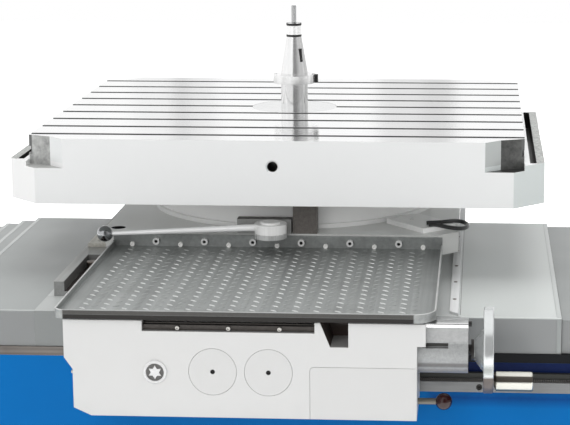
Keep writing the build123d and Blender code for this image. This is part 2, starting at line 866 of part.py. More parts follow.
flange_face = tray_back - tray_flange_thickness
with BuildPart() as tray_bolts:
    bolt_plane = Plane(((tray_left + tray_right) / 2, flange_face, tray_bolt_height),
                       x_dir=(1, 0, 0), z_dir=(0, -1, 0))
    with BuildSketch(bolt_plane):
        with GridLocations(tray_bolt_pitch, 1, tray_bolt_count, 1):
            Circle(tray_bolt_diameter / 2)
    extrude(amount=tray_bolt_head)
    with BuildSketch(bolt_plane.offset(tray_bolt_head)):
        with GridLocations(tray_bolt_pitch, 1, tray_bolt_count, 1):
            RegularPolygon(tray_bolt_socket / 2, 6)
    extrude(amount=-tray_bolt_head / 2, mode=Mode.SUBTRACT)
keep(tray_bolts, "tray_bolts")

with BuildPart() as side_wiper:
    wiper_right = table_x - slide_half_width
    wiper_low = slide_front + slide_corner
    block(
        (wiper_right - side_wiper_width, wiper_low, slide_floor),
        (wiper_right, wiper_low + side_wiper_length, slide_floor + side_wiper_thickness),
    )
    with Locations((wiper_right - side_wiper_width / 2, wiper_low + side_wiper_length / 2,
                    slide_floor + side_wiper_thickness)):
        with GridLocations(1, side_wiper_length / 2, 1, 2):
            Hole(side_wiper_hole_diameter / 2)
keep(side_wiper, "side_wiper")

# Clamp lever

lever_centre_y = slide_front - lever_overhang
bracket_top = slide_top + lever_bracket_thickness
with BuildPart() as lever_bracket:
    with BuildSketch(Plane.XY.offset(slide_top)):
        with Locations((lever_centre_x, lever_centre_y)):
            Circle(lever_hub_diameter / 2)
            Rectangle(lever_bracket_neck, lever_overhang + lever_bracket_foot,
                      align=(Align.CENTER, Align.MIN))
    extrude(amount=lever_bracket_thickness)
    block(
        (lever_centre_x - lever_foot_left, slide_front, slide_top),
        (lever_centre_x + lever_foot_right, slide_front + lever_bracket_foot,
         slide_top + lever_foot_height),
    )
    with Locations((lever_centre_x, lever_centre_y, bracket_top)):
        Cylinder(lever_pin_diameter / 2, lever_pin_height, align=standing)
keep(lever_bracket, "lever_bracket")

hub_floor = bracket_top + slide_gap
rod_middle_z = hub_floor + lever_hub_height / 2
ball_centre = (lever_centre_x - lever_length, lever_centre_y, rod_middle_z - lever_drop)
rod_start = (lever_centre_x - lever_hub_diameter / 2 + lever_rod_depth, lever_centre_y, rod_middle_z)
with BuildPart() as clamp_hub:
    with Locations((lever_centre_x, lever_centre_y, hub_floor)):
        Cylinder(lever_hub_diameter / 2, lever_hub_height, align=standing)
        Cylinder(lever_boss_diameter / 2, lever_hub_height + lever_boss_height,
                 align=standing)
    chamfer(clamp_hub.edges().group_by(Axis.Z)[-1], length=lever_hub_edge)
    with Locations((lever_centre_x, lever_centre_y, hub_floor)):
        Cylinder(lever_pin_diameter / 2 + shaft_gap, lever_pin_height + moving_gap - slide_gap,
                 align=standing, mode=Mode.SUBTRACT)
    with Locations(Plane(rod_start, z_dir=(-1, 0, 0))):
        Cylinder(lever_rod_large / 2 + shaft_gap, lever_hub_diameter,
                 align=standing, mode=Mode.SUBTRACT)
keep(clamp_hub, "clamp_hub")

rod_elbow = (lever_centre_x - lever_hub_diameter / 2 - lever_rod_straight, lever_centre_y, rod_middle_z)
rod_path = Vector(*ball_centre) - Vector(*rod_elbow)
with BuildPart() as clamp_rod:
    with Locations(Plane(rod_start, z_dir=(-1, 0, 0))):
        Cylinder(lever_rod_large / 2, rod_start[0] - rod_elbow[0], align=standing)
    with BuildSketch(Plane(rod_elbow, z_dir=rod_path)):
        Circle(lever_rod_large / 2)
    with BuildSketch(Plane(ball_centre, z_dir=rod_path)):
        Circle(lever_rod_small / 2)
    loft()
keep(clamp_rod, "clamp_rod")

with BuildPart() as clamp_ball:
    # A half circle with the rod's blind bore, turned about the rod's line.
    with BuildSketch(Plane(ball_centre, x_dir=rod_path, z_dir=(0, -1, 0))):
        with BuildLine():
            ball_radius = lever_ball_diameter / 2
            bore_radius = lever_rod_small / 2 + lever_rod_taper_room
            mouth_x = -math.sqrt(ball_radius**2 - bore_radius**2)
            Line((slide_gap, 0), (ball_radius, 0))
            ThreePointArc((ball_radius, 0), (0, ball_radius), (mouth_x, bore_radius))
            Polyline((mouth_x, bore_radius), (slide_gap, bore_radius), (slide_gap, 0))
        make_face()
    revolve(axis=Axis(ball_centre, rod_path))
keep(clamp_ball, "clamp_ball")

# Rotary table

rim_outer_x = table_half_length + gutter_ledge + gutter_width + rim_width
rim_back = table_half_depth - rim_back_setback
rim_front = -table_half_depth + rim_front_setback
with BuildPart() as table_casting:
    with BuildSketch(Plane((table_x, table_y, table_floor))):
        with BuildLine():
            Polyline(
                (-rim_outer_x + front_corner, -table_half_depth),
                (rim_outer_x - front_corner, -table_half_depth),
                (rim_outer_x, -table_half_depth + front_corner),
                (rim_outer_x, rim_back),
                (table_half_length, rim_back),
                (table_half_length, table_half_depth),
                (-table_half_length, table_half_depth),
                (-table_half_length, rim_back),
                (-rim_outer_x, rim_back),
                (-rim_outer_x, -table_half_depth + front_corner),
                close=True,
            )
        make_face()
    extrude(amount=table_thickness)
    for side in (-1, 1):
        with BuildSketch(Plane((table_x, table_y, table_top))):
            with Locations((side * (table_half_length + rim_outer_x) / 2, 0)):
                Rectangle(rim_outer_x - table_half_length, 2 * table_half_depth)
        extrude(amount=-rim_drop, mode=Mode.SUBTRACT)
        with BuildSketch(Plane((table_x, table_y, table_top))):
            gutter_middle = (rim_front + rim_back - gutter_end_wall) / 2
            gutter_middle_x = table_half_length + gutter_ledge + gutter_width / 2
            with Locations((side * gutter_middle_x, gutter_middle)):
                Rectangle(gutter_width, rim_back - gutter_end_wall - rim_front)
        extrude(amount=-gutter_depth, mode=Mode.SUBTRACT)
        for end in (-1, 1):
            with BuildSketch(Plane((table_x, table_y, table_top))):
                with BuildLine():
                    inner_x = table_half_length - notch_x
                    Polyline(
                        (side * inner_x, end * table_half_depth),
                        (side * (inner_x + notch_facet), end * (table_half_depth - notch_facet)),
                        (side * table_half_length, end * (table_half_depth - notch_y)),
                        (side * table_half_length, end * table_half_depth),
                        close=True,
                    )
                make_face()
            extrude(amount=-notch_floor_drop, mode=Mode.SUBTRACT)
    slot_end = (table_x - table_half_length, table_y, table_top)
    with BuildSketch(Plane(slot_end, x_dir=(0, 1, 0), z_dir=(1, 0, 0))):
        with GridLocations(slot_pitch, 1, slot_count, 1):
            with Locations((0, -slot_neck_depth)):
                Rectangle(slot_width, slot_neck_depth, align=(Align.CENTER, Align.MIN))
                Rectangle(slot_base_width, slot_base_height, align=(Align.CENTER, Align.MAX))
    extrude(amount=2 * table_half_length, mode=Mode.SUBTRACT)
    with Locations((table_x, table_y, table_top)):
        Cylinder(centre_ring_diameter / 2, centre_ring_depth,
                 align=hanging, mode=Mode.SUBTRACT)
        Cylinder(arbor_diameter / 2 + shaft_gap, arbor_bore_depth,
                 align=hanging, mode=Mode.SUBTRACT)
    with Locations((table_x, table_y, table_floor)):
        Cylinder(pivot_diameter / 2 + shaft_gap, pivot_bore_depth,
                 align=standing, mode=Mode.SUBTRACT)
    hole_place = (table_x, table_y - table_half_depth, table_top - front_hole_drop)
    with Locations(Plane(hole_place, z_dir=(0, -1, 0))):
        CounterSinkHole(front_hole_diameter / 2, front_hole_diameter / 2 + front_hole_chamfer,
                        depth=front_hole_depth, counter_sink_angle=90)
keep(table_casting, "table_casting")

with BuildPart() as centre_ring:
    ring_height = centre_ring_depth - centre_ring_drop
    with BuildSketch(Plane((table_x, table_y, table_top - centre_ring_depth))):
        Circle(centre_ring_diameter / 2 - slide_gap)
        # The slots on both sides were milled through the ring's edge.
        Rectangle(centre_ring_diameter, 2 * slot_pitch - slot_width, mode=Mode.INTERSECT)
        Circle(arbor_diameter / 2 + slide_gap, mode=Mode.SUBTRACT)
    extrude(amount=ring_height)
keep(centre_ring, "centre_ring")

with BuildPart() as arbor:
    with BuildSketch(Plane((table_x, table_y, table_top), x_dir=(1, 0, 0), z_dir=(0, -1, 0))):
        with BuildLine():
            body = arbor_diameter / 2
            flange = arbor_flange_diameter / 2
            flange_bottom = arbor_body_height
            flange_high = flange_bottom + arbor_flange_height
            cone_bottom = flange_high + arbor_neck_height
            cone_top = cone_bottom + arbor_cone_height
            collar_top = cone_top + arbor_collar_height
            neck = arbor_collar_neck / 2
            collar = arbor_cone_small / 2
            Polyline(
                (0, -arbor_bore_depth),
                (body, -arbor_bore_depth),
                (body, flange_bottom),
                (flange, flange_bottom),
                (flange, flange_high),
                (body, flange_high),
                (body, cone_bottom),
                (arbor_cone_large / 2, cone_bottom),
                (collar, cone_top),
                (neck, cone_top),
                (neck, cone_top + arbor_collar_groove),
                (collar, cone_top + arbor_collar_groove),
                (collar, collar_top - arbor_collar_groove),
                (neck, collar_top - arbor_collar_groove),
                (neck, collar_top),
                (0, collar_top),
                close=True,
            )
        make_face()
    revolve(axis=Axis((table_x, table_y, 0), (0, 0, 1)))
    for side in (-1, 1):
        key_near, key_far = sorted((side * (flange - arbor_key_depth), side * (flange + moving_gap)))
        block(
            (table_x + key_near, table_y - arbor_key_width / 2, table_top + flange_bottom),
            (table_x + key_far, table_y + arbor_key_width / 2, table_top + flange_high),
            mode=Mode.SUBTRACT,
        )
    slot_middle_z = table_top + cone_bottom + arbor_cone_height / 2
    with Locations(Location((table_x, table_y, slot_middle_z), (0, 0, arbor_slot_turn))):
        with Locations((0, -arbor_slot_bottom, 0)):
            Box(arbor_slot_width, arbor_cone_large / 2 - arbor_slot_bottom, arbor_slot_height,
                align=(Align.CENTER, Align.MAX, Align.CENTER), mode=Mode.SUBTRACT)
    with Locations((table_x, table_y, table_top + collar_top)):
        Hole(stud_shank_diameter / 2 + shaft_gap, depth=stud_seat)
keep(arbor, "arbor")

with BuildPart() as pull_stud:
    with Locations((table_x, table_y, table_top + collar_top)):
        Cylinder(stud_shank_diameter / 2, stud_seat, align=hanging)
        Cylinder(stud_diameter / 2, stud_length, align=standing)
    chamfer(pull_stud.edges().group_by(Axis.Z)[-1], length=stud_edge)
keep(pull_stud, "pull_stud")
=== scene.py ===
"""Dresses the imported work-table unit of a horizontal boring mill and lights it for its portrait.

Every length is in metres, in the model's own frame: X runs along the bed, Y away from the
operator and Z up, with the origin on the floor under the middle of the bed.
"""

import logging
import math
from dataclasses import dataclass
from enum import Enum
from typing import Callable, Sequence, Union

import bmesh
import bpy
from mathutils import Matrix, Vector


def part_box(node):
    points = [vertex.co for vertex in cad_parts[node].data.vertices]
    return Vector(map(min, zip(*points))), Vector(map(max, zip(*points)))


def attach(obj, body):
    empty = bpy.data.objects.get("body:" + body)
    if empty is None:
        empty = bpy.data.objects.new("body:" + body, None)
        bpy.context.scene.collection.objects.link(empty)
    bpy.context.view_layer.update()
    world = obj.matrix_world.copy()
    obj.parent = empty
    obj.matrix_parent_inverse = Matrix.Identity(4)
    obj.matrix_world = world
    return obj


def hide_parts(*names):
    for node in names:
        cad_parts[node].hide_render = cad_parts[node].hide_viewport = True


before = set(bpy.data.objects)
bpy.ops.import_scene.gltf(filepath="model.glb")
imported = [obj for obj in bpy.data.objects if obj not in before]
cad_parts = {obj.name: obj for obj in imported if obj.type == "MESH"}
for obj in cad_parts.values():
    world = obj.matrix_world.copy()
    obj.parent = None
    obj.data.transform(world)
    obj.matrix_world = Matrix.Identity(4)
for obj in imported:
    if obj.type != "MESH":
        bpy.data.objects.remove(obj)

LOG = logging.getLogger("work_table_unit")
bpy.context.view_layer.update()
Material = bpy.types.Material
Node = bpy.types.Node
Object = bpy.types.Object
Outputs = bpy.types.bpy_prop_collection
Socket = bpy.types.NodeSocket
Tree = bpy.types.NodeTree
Value = Union[Socket, float, Sequence[float]]
Point = tuple[float, float, float]


class Body(Enum):
    """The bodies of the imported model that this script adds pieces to."""

    BED = "bed"
    SADDLE = "saddle"
    CROSS_SLIDE = "cross_slide"
    ROTARY_TABLE = "rotary_table"


class Lay(Enum):
    """The direction in which a ground or machined surface was worked."""

    ALONG_X = (1.0, 60.0, 60.0)
    ALONG_Y = (60.0, 1.0, 60.0)
    ALONG_Z = (60.0, 60.0, 1.0)
    TURNED = (14.0, 60.0, 60.0)


def color(code: str) -> tuple[float, float, float, float]:
    """Turns a hexadecimal display colour into the linear colour that a socket holds.

    Args:
        code: Six hexadecimal digits.

    Returns:
        Linear red, green and blue, and an alpha of one.
    """
    parts = [int(code[at:at + 2], 16) / 255 for at in (0, 2, 4)]
    linear = [part / 12.92 if part <= 0.04045 else ((part + 0.055) / 1.055) ** 2.4 for part in parts]
    return (*linear, 1.0)


def shade(code: str, factor: float, lift: float = 0.0) -> tuple[float, float, float, float]:
    """Makes a display colour darker or lighter.

    Args:
        code: Six hexadecimal digits.
        factor: What the linear colour is multiplied by.
        lift: What is added to it.

    Returns:
        The linear colour, at most one, and an alpha of one.
    """
    return (*(min(1.0, part * factor + lift) for part in color(code)[:3]), 1.0)


class Graph:
    """Short ways to add and join nodes in one node tree."""

    def __init__(self, tree: Tree) -> None:
        """Keeps the tree that the nodes go into.

        Args:
            tree: An empty shader or geometry node tree.
        """
        self.tree = tree

    def feed(self, socket: Socket, value: Value) -> None:
        """Joins a socket to a socket, or sets it to a constant.

        Args:
            socket: The input to fill.
            value: Another node's output, or a number, vector or colour.
        """
        if isinstance(value, Socket):
            self.tree.links.new(value, socket)
        else:
            socket.default_value = value

    def add(self, kind: str, inputs: dict[Union[str, int], Value] | None = None, **settings: object
            ) -> Node:
        """Adds a node, sets its properties and fills its inputs.

        Args:
            kind: The node's type.
            inputs: Values by input name or number.
            **settings: Properties of the node.

        Returns:
            The new node.
        """
        node = self.tree.nodes.new(kind)
        for name, value in settings.items():
            setattr(node, name, value)
        for name, value in (inputs or {}).items():
            self.feed(node.inputs[name], value)
        return node

    def math(self, operation: str, *values: Value, clamp: bool = False) -> Socket:
        """Adds a Math node.

        Args:
            operation: The node's operation.
            *values: Its inputs, in order.
            clamp: Whether the result stays between zero and one.

        Returns:
            The result's socket.
        """
        inputs = dict(enumerate(values))
        return self.add("ShaderNodeMath", inputs, operation=operation, use_clamp=clamp).outputs[0]

    def times(self, first: Value, *others: Value) -> Value:
        """Multiplies values one after another."""
        for other in others:
            first = self.math("MULTIPLY", first, other)
        return first

    def parts(self, vector: Value) -> Outputs:
        """Splits a vector into its X, Y and Z outputs."""
        return self.add("ShaderNodeSeparateXYZ", {0: vector}).outputs

    def place(self) -> Socket:
        """Returns the shaded point in the piece's own coordinates."""
        return self.add("ShaderNodeTexCoord").outputs["Object"]

    def normal(self) -> Outputs:
        """Returns the X, Y and Z outputs of the face's own normal."""
        return self.parts(self.add("ShaderNodeNewGeometry").outputs["True Normal"])

    def inside(self, lowest: Point, highest: Point, soft: float) -> Socket:
        """Returns a mask that is one inside a box in the piece's own coordinates."""
        return self.group(EFFECTS.inside_box, Lowest=lowest, Highest=highest, Soft=soft).outputs["Mask"]

    def vector(self, operation: str, *values: Value) -> Node:
        """Adds a Vector Math node and returns it."""
        return self.add("ShaderNodeVectorMath", dict(enumerate(values)), operation=operation)

    def noise(self, vector: Value, scale: float, detail: float = 3.0, roughness: float = 0.55) -> Socket:
        """Adds a Noise Texture and returns its factor."""
        inputs = {"Vector": vector, "Scale": scale, "Detail": detail, "Roughness": roughness}
        return self.add("ShaderNodeTexNoise", inputs).outputs["Fac"]

    def span(self, value: Value, low: Value, high: Value, start: float = 0.0, end: float = 1.0) -> Socket:
        """Maps a value's range to another one, clamped at both ends.

        Args:
            value: The value to map.
            low: The value that gives start.
            high: The value that gives end.
            start: The first result.
            end: The last result.

        Returns:
            The mapped value.
        """
        inputs = {"Value": value, "From Min": low, "From Max": high, "To Min": start, "To Max": end}
        return self.add("ShaderNodeMapRange", inputs, clamp=True).outputs["Result"]

    def blend(self, factor: Value, first: Value, second: Value, mode: str = "MIX") -> Socket:
        """Mixes two colours.

        Args:
            factor: The share of the second colour.
            first: A colour.
            second: Another colour.
            mode: The blend type.

        Returns:
            The mixed colour.
        """
        node = self.add("ShaderNodeMix", data_type="RGBA", blend_type=mode, clamp_factor=True)
        self.feed(node.inputs[0], factor)
        self.feed(node.inputs[6], first)
        self.feed(node.inputs[7], second)
        return node.outputs[2]

    def group(self, tree: Tree, **inputs: Value) -> Node:
        """Places a node group with its own values; an input's name has its spaces as underscores."""
        node = self.add("ShaderNodeGroup", node_tree=tree)
        for name, value in inputs.items():
            self.feed(node.inputs[name.replace("_", " ")], value)
        return node


class Effects:
    """The shader node groups that several finishes share, each built once."""

    def __init__(self) -> None:
        """Builds every group."""
        self.soft_edges = self._soft_edges()
        self.enamel_skin = self._enamel_skin()
        self.ground_lay = self._ground_lay()
        self.cast_skin = self._cast_skin()
        self.grime = self._grime()
        self.inside_box = self._inside_box()

    @staticmethod
    def _open(name: str, inputs: dict[str, Value], outputs: Sequence[str]
              ) -> tuple[Graph, Node, Node]:
        """Starts a group with its sockets.

        Args:
            name: The group's name.
            inputs: Input names and their defaults; a tuple makes a vector.
            outputs: Output names; the one called Normal is a vector.

        Returns:
            The graph, the group's input node and its output node.
        """
        tree = bpy.data.node_groups.new(name, "ShaderNodeTree")
        for socket_name, value in inputs.items():
            kind = "NodeSocketVector" if isinstance(value, tuple) else "NodeSocketFloat"
            socket = tree.interface.new_socket(socket_name, in_out="INPUT", socket_type=kind)
            socket.default_value = value
        for socket_name in outputs:
            kind = "NodeSocketVector" if socket_name == "Normal" else "NodeSocketFloat"
            tree.interface.new_socket(socket_name, in_out="OUTPUT", socket_type=kind)
        graph = Graph(tree)
        return graph, graph.add("NodeGroupInput"), graph.add("NodeGroupOutput")

    def _soft_edges(self) -> Tree:
        """Rounds edges in the shading and finds where they are rubbed bare."""
        graph, given, result = self._open(
            "soft_edges", {"Radius": 0.002, "Wear": 0.5, "Patch Scale": 9.0},
            ["Normal", "Worn"])
        rounded = graph.add("ShaderNodeBevel", {"Radius": given.outputs["Radius"]}, samples=4)
        flat = graph.add("ShaderNodeNewGeometry")
        place = graph.place()
        along = graph.vector("DOT_PRODUCT", rounded.outputs[0], flat.outputs["Normal"]).outputs["Value"]
        edge = graph.span(along, 0.995, 0.90)
        patches = graph.noise(place, given.outputs["Patch Scale"], 5.0, 0.7)
        broken = graph.span(patches, graph.math("SUBTRACT", 0.75, given.outputs["Wear"]), 0.85)
        graph.feed(result.inputs["Normal"], rounded.outputs[0])
        graph.feed(result.inputs["Worn"], graph.math("MULTIPLY", edge, broken, clamp=True))
        return graph.tree

    def _enamel_skin(self) -> Tree:
        """The fine peel of sprayed enamel and the slow waves of filler under it."""
        graph, given, result = self._open(
            "enamel_skin", {"Peel Scale": 220.0, "Wave Scale": 5.0},
            ["Height", "Tone"])
        place = graph.place()
        peel = graph.noise(place, given.outputs["Peel Scale"], 2.0)
        waves = graph.noise(place, given.outputs["Wave Scale"], 3.0)
        graph.feed(result.inputs["Height"], graph.math("MULTIPLY_ADD", waves, 3.0, peel))
        graph.feed(result.inputs["Tone"], waves)
        return graph.tree

    def _ground_lay(self) -> Tree:
        """Fine lines that run one way over ground or machined metal."""
        graph, given, result = self._open(
            "ground_lay", {"Stretch": (1.0, 60.0, 60.0), "Line Scale": 12.0, "Cloud Scale": 4.0},
            ["Height", "Tone", "Cloud"])
        place = graph.place()
        drawn = graph.vector("MULTIPLY", place, given.outputs["Stretch"]).outputs["Vector"]
        lines = graph.noise(drawn, given.outputs["Line Scale"], 4.0, 0.65)
        broad = graph.noise(drawn, graph.times(given.outputs["Line Scale"], 0.16), 2.0)
        graph.feed(result.inputs["Height"], lines)
        graph.feed(result.inputs["Tone"], graph.math("MULTIPLY_ADD", lines, 0.5, graph.times(broad, 0.5)))
        graph.feed(result.inputs["Cloud"], graph.noise(place, given.outputs["Cloud Scale"], 4.0))
        return graph.tree

    def _cast_skin(self) -> Tree:
        """The pebbled skin that a sand mould leaves."""
        graph, given, result = self._open(
            "cast_skin", {"Grit Scale": 260.0}, ["Height", "Tone"])
        place = graph.place()
        grit = graph.noise(place, given.outputs["Grit Scale"], 4.0, 0.7)
        lumps = graph.noise(place, graph.times(given.outputs["Grit Scale"], 0.3), 3.0)
        graph.feed(result.inputs["Height"], graph.math("MULTIPLY_ADD", lumps, 1.5, grit))
        graph.feed(result.inputs["Tone"], graph.math("MULTIPLY_ADD", grit, 0.6, graph.times(lumps, 0.4)))
        return graph.tree

    def _grime(self) -> Tree:
        """Oil and dust that gathers low on a face and in patches."""
        graph, given, result = self._open(
            "grime", {"Low": 0.0, "High": 1.0, "Amount": 0.5, "Patch Scale": 6.0},
            ["Mask"])
        place = graph.place()
        low = graph.span(graph.parts(place)["Z"], given.outputs["Low"], given.outputs["High"], 1.0, 0.0)
        patches = graph.span(graph.noise(place, given.outputs["Patch Scale"], 6.0, 0.65), 0.42, 0.72)
        mask = graph.math("MULTIPLY", graph.times(low, patches), given.outputs["Amount"], clamp=True)
        graph.feed(result.inputs["Mask"], mask)
        return graph.tree

    def _inside_box(self) -> Tree:
        """One inside a box in the piece's own coordinates, zero outside it."""
        graph, given, result = self._open(
            "inside_box", {"Lowest": (0.0, 0.0, 0.0), "Highest": (1.0, 1.0, 1.0), "Soft": 0.001},
            ["Mask"])
        place = graph.place()
        over = graph.vector("SUBTRACT", place, given.outputs["Lowest"]).outputs["Vector"]
        under = graph.vector("SUBTRACT", given.outputs["Highest"], place).outputs["Vector"]
        nearest = graph.vector("MINIMUM", over, under).outputs["Vector"]
        parts = graph.parts(nearest)
        least = graph.math("MINIMUM", graph.math("MINIMUM", parts[0], parts[1]), parts[2])
        graph.feed(result.inputs["Mask"], graph.span(least, 0.0, given.outputs["Soft"]))
        return graph.tree


EFFECTS = Effects()


class Layers:
    """Colour, roughness and metal of one material, laid over one another region by region."""

    def __init__(self, graph: Graph, base: Value, rough: Value, metal: Value) -> None:
        """Starts from the finish that the regions lie on.

        Args:
            graph: The material's graph.
            base: Its colour.
            rough: Its roughness.
            metal: Its metallic value.
        """
        self.graph, self.base, self.rough, self.metal = graph, base, rough, metal

    def over(self, mask: Value, base: Value, rough: Value, metal: float = 0.0) -> None:
        """Lays one region over what is there.

        Args:
            mask: One inside the region.
            base: Its colour.
            rough: Its roughness.
            metal: Its metallic value.
        """
        graph = self.graph
        self.base = graph.blend(mask, self.base, base)
        self.rough = graph.math("MULTIPLY_ADD", mask, graph.math("SUBTRACT", rough, self.rough), self.rough)
        if self.metal != metal:
            change = graph.math("SUBTRACT", metal, self.metal)
            self.metal = graph.math("MULTIPLY_ADD", mask, change, self.metal)

    def feed(self, shader: Node) -> None:
        """Fills the shader's sockets with the layers."""
        for name, value in (("Base Color", self.base), ("Roughness", self.rough), ("Metallic", self.metal)):
            self.graph.feed(shader.inputs[name], value)


@dataclass(frozen=True)
class Region:
    """A box of one piece whose colour is laid over the finish; a few stand for the piece's own colour, such
    as a dark seam, and many are painted shade, shadow, highlight and reflection.
    """

    lowest: Point
    highest: Point
    code: str
    roughness: float = 0.6
    metallic: float = 0.0
    soft: float = 0.001


@dataclass(frozen=True)
class Finish:
    """What every finish has: a name, a colour and soft edges."""

    name: str
    code: str
    roughness: float = 0.4
    edge_radius: float = 0.002
    regions: tuple[Region, ...] = ()

    def open(self) -> tuple[Graph, Node]:
        """Starts the material.

        Returns:
            Its graph and its Principled shader.
        """
        made = bpy.data.materials.new(self.name)
        made.use_nodes = True
        made.node_tree.nodes.clear()
        graph = Graph(made.node_tree)
        shader = graph.add("ShaderNodeBsdfPrincipled")
        output = graph.add("ShaderNodeOutputMaterial")
        graph.feed(output.inputs["Surface"], shader.outputs[0])
        return graph, shader

    def close(self, graph: Graph, shader: Node, base: Value, rough: Value, metal: Value,
              height: Value, normal: Value, bump: float) -> Material:
        """Lays the regions over the finish, fills the shader and gives back the material.

        Args:
            graph: The material's graph.
            shader: Its Principled shader.
            base: The colour outside the regions.
            rough: The roughness outside the regions.
            metal: The metallic value outside the regions.
            height: The bump's height.
            normal: The normal that the bump starts from.
            bump: The bump's depth in metres.

        Returns:
            The finished material.
        """
        layers = Layers(graph, base, rough, metal)
        for region in self.regions:
            skin = graph.group(EFFECTS.cast_skin, Grit_Scale=180.0).outputs["Tone"]
            layers.over(graph.inside(region.lowest, region.highest, region.soft),
                        graph.blend(skin, shade(region.code, 0.6), shade(region.code, 1.4)),
                        region.roughness, region.metallic)
        layers.feed(shader)
        lift = graph.add("ShaderNodeBump", {"Strength": 1.0, "Distance": bump, "Height": height,
                                            "Normal": normal})
        graph.feed(shader.inputs["Normal"], lift.outputs["Normal"])
        return bpy.data.materials[self.name]


@dataclass(frozen=True)
class Enamel(Finish):
    """Sprayed enamel over filled cast iron or sheet steel, rubbed through at its edges."""

    primer: str = "6f7474"
    coat: float = 0.25
    shine: float = 0.5
    wear: float = 0.15
    peel: float = 220.0
    tone: float = 0.05
    grime_low: float = 0.0
    grime_high: float = 0.6
    grime: float = 0.12
    # upright: a darker colour for faces that stand than for faces that look up, a painted shade.
    upright: str = ""

    def material(self) -> Material:
        """Builds the material."""
        graph, shader = self.open()
        skin = graph.group(EFFECTS.enamel_skin, Peel_Scale=self.peel, Wave_Scale=4.0)
        edges = graph.group(EFFECTS.soft_edges, Radius=self.edge_radius, Wear=self.wear, Patch_Scale=11.0)
        dirt = graph.group(EFFECTS.grime, Low=self.grime_low, High=self.grime_high, Amount=self.grime,
                           Patch_Scale=5.0).outputs["Mask"]
        base = graph.blend(skin.outputs["Tone"], shade(self.code, 1 - 2 * self.tone), color(self.code))
        # Faces that stand take the upright colour: a painted shade by face direction.
        if self.upright:
            rise = graph.math("ABSOLUTE", graph.normal()["Z"])
            base = graph.blend(graph.span(rise, 0.7, 0.2), base, color(self.upright))
        base = graph.blend(dirt, base, color("4a463f"))
        base = graph.blend(edges.outputs["Worn"], base, color(self.primer))
        rough = graph.span(skin.outputs["Tone"], 0.3, 0.7, self.roughness - 0.04, self.roughness + 0.06)
        rough = graph.math("MULTIPLY_ADD", dirt, 0.3, rough, clamp=True)
        shader.inputs["Coat Weight"].default_value = self.coat
        shader.inputs["Coat Roughness"].default_value = 0.12
        shader.inputs["Specular IOR Level"].default_value = self.shine
        return self.close(graph, shader, base, rough, 0.0, skin.outputs["Height"],
                          edges.outputs["Normal"], 0.00012)


@dataclass(frozen=True)
class GroundMetal(Finish):
    """Ground, turned or milled metal whose fine lines run one way."""

    lay: Lay = Lay.ALONG_X
    line_scale: float = 12.0
    contrast: float = 0.18
    stain: str = "5b5348"
    staining: float = 0.12
    bump: float = 0.00006
    metallic: float = 1.0
    # How much the edges are lightened: edges rubbed bright, and also a painted highlight along them.
    rubbed: float = 0.3

    def material(self) -> Material:
        """Builds the material."""
        graph, shader = self.open()
        lines = graph.group(EFFECTS.ground_lay, Stretch=self.lay.value, Line_Scale=self.line_scale,
                            Cloud_Scale=5.0)
        edges = graph.group(EFFECTS.soft_edges, Radius=self.edge_radius, Wear=0.5, Patch_Scale=20.0)
        base = graph.blend(graph.span(lines.outputs["Tone"], 0.35, 0.65),
                           shade(self.code, 1 - self.contrast), color(self.code))
        patches = graph.times(graph.span(lines.outputs["Cloud"], 0.5, 0.75), self.staining)
        base = graph.blend(patches, base, color(self.stain))
        # Lightens the edges: rubbed metal, and a painted highlight along the edges.
        base = graph.blend(graph.times(edges.outputs["Worn"], self.rubbed), base, color("f4f4f3"))
        rough = graph.span(lines.outputs["Tone"], 0.35, 0.65, self.roughness + 0.05,
                           max(0.02, self.roughness - 0.04))
        rough = graph.math("MULTIPLY_ADD", patches, 0.4, rough, clamp=True)
        return self.close(graph, shader, base, rough, self.metallic, lines.outputs["Height"],
                          edges.outputs["Normal"], self.bump)


@dataclass(frozen=True)
class CastMetal(Finish):
    """Metal left as it came from the mould, blackened, oiled or bare."""

    grit: float = 260.0
    contrast: float = 0.35
    metallic: float = 0.4
    bump: float = 0.0003

    def material(self) -> Material:
        """Builds the material."""
        graph, shader = self.open()
        skin = graph.group(EFFECTS.cast_skin, Grit_Scale=self.grit)
        edges = graph.group(EFFECTS.soft_edges, Radius=self.edge_radius, Wear=0.45, Patch_Scale=30.0)
        base = graph.blend(graph.span(skin.outputs["Tone"], 0.35, 0.65),
                           shade(self.code, 1 - self.contrast), color(self.code))
        base = graph.blend(edges.outputs["Worn"], base, shade(self.code, 1.5, 0.05))
        rough = graph.span(skin.outputs["Tone"], 0.3, 0.7, self.roughness + 0.08, self.roughness - 0.08)
        return self.close(graph, shader, base, rough, self.metallic, skin.outputs["Height"],
                          edges.outputs["Normal"], self.bump)


@dataclass(frozen=True)
class Moulded(Finish):
    """Pressed plastic, rubber or glass-like resin."""

    coat: float = 0.6
    grit: float = 400.0
    bump: float = 0.00003

    def material(self) -> Material:
        """Builds the material."""
        graph, shader = self.open()
        skin = graph.group(EFFECTS.cast_skin, Grit_Scale=self.grit)
        edges = graph.group(EFFECTS.soft_edges, Radius=self.edge_radius, Wear=0.1, Patch_Scale=30.0)
        base = graph.blend(graph.span(skin.outputs["Tone"], 0.3, 0.7), shade(self.code, 0.75),
                           color(self.code))
        rough = graph.span(skin.outputs["Tone"], 0.3, 0.7, self.roughness + 0.04, self.roughness - 0.03)
        shader.inputs["Coat Weight"].default_value = self.coat
        shader.inputs["Coat Roughness"].default_value = 0.06
        return self.close(graph, shader, base, rough, 0.0, skin.outputs["Height"],
                          edges.outputs["Normal"], self.bump)


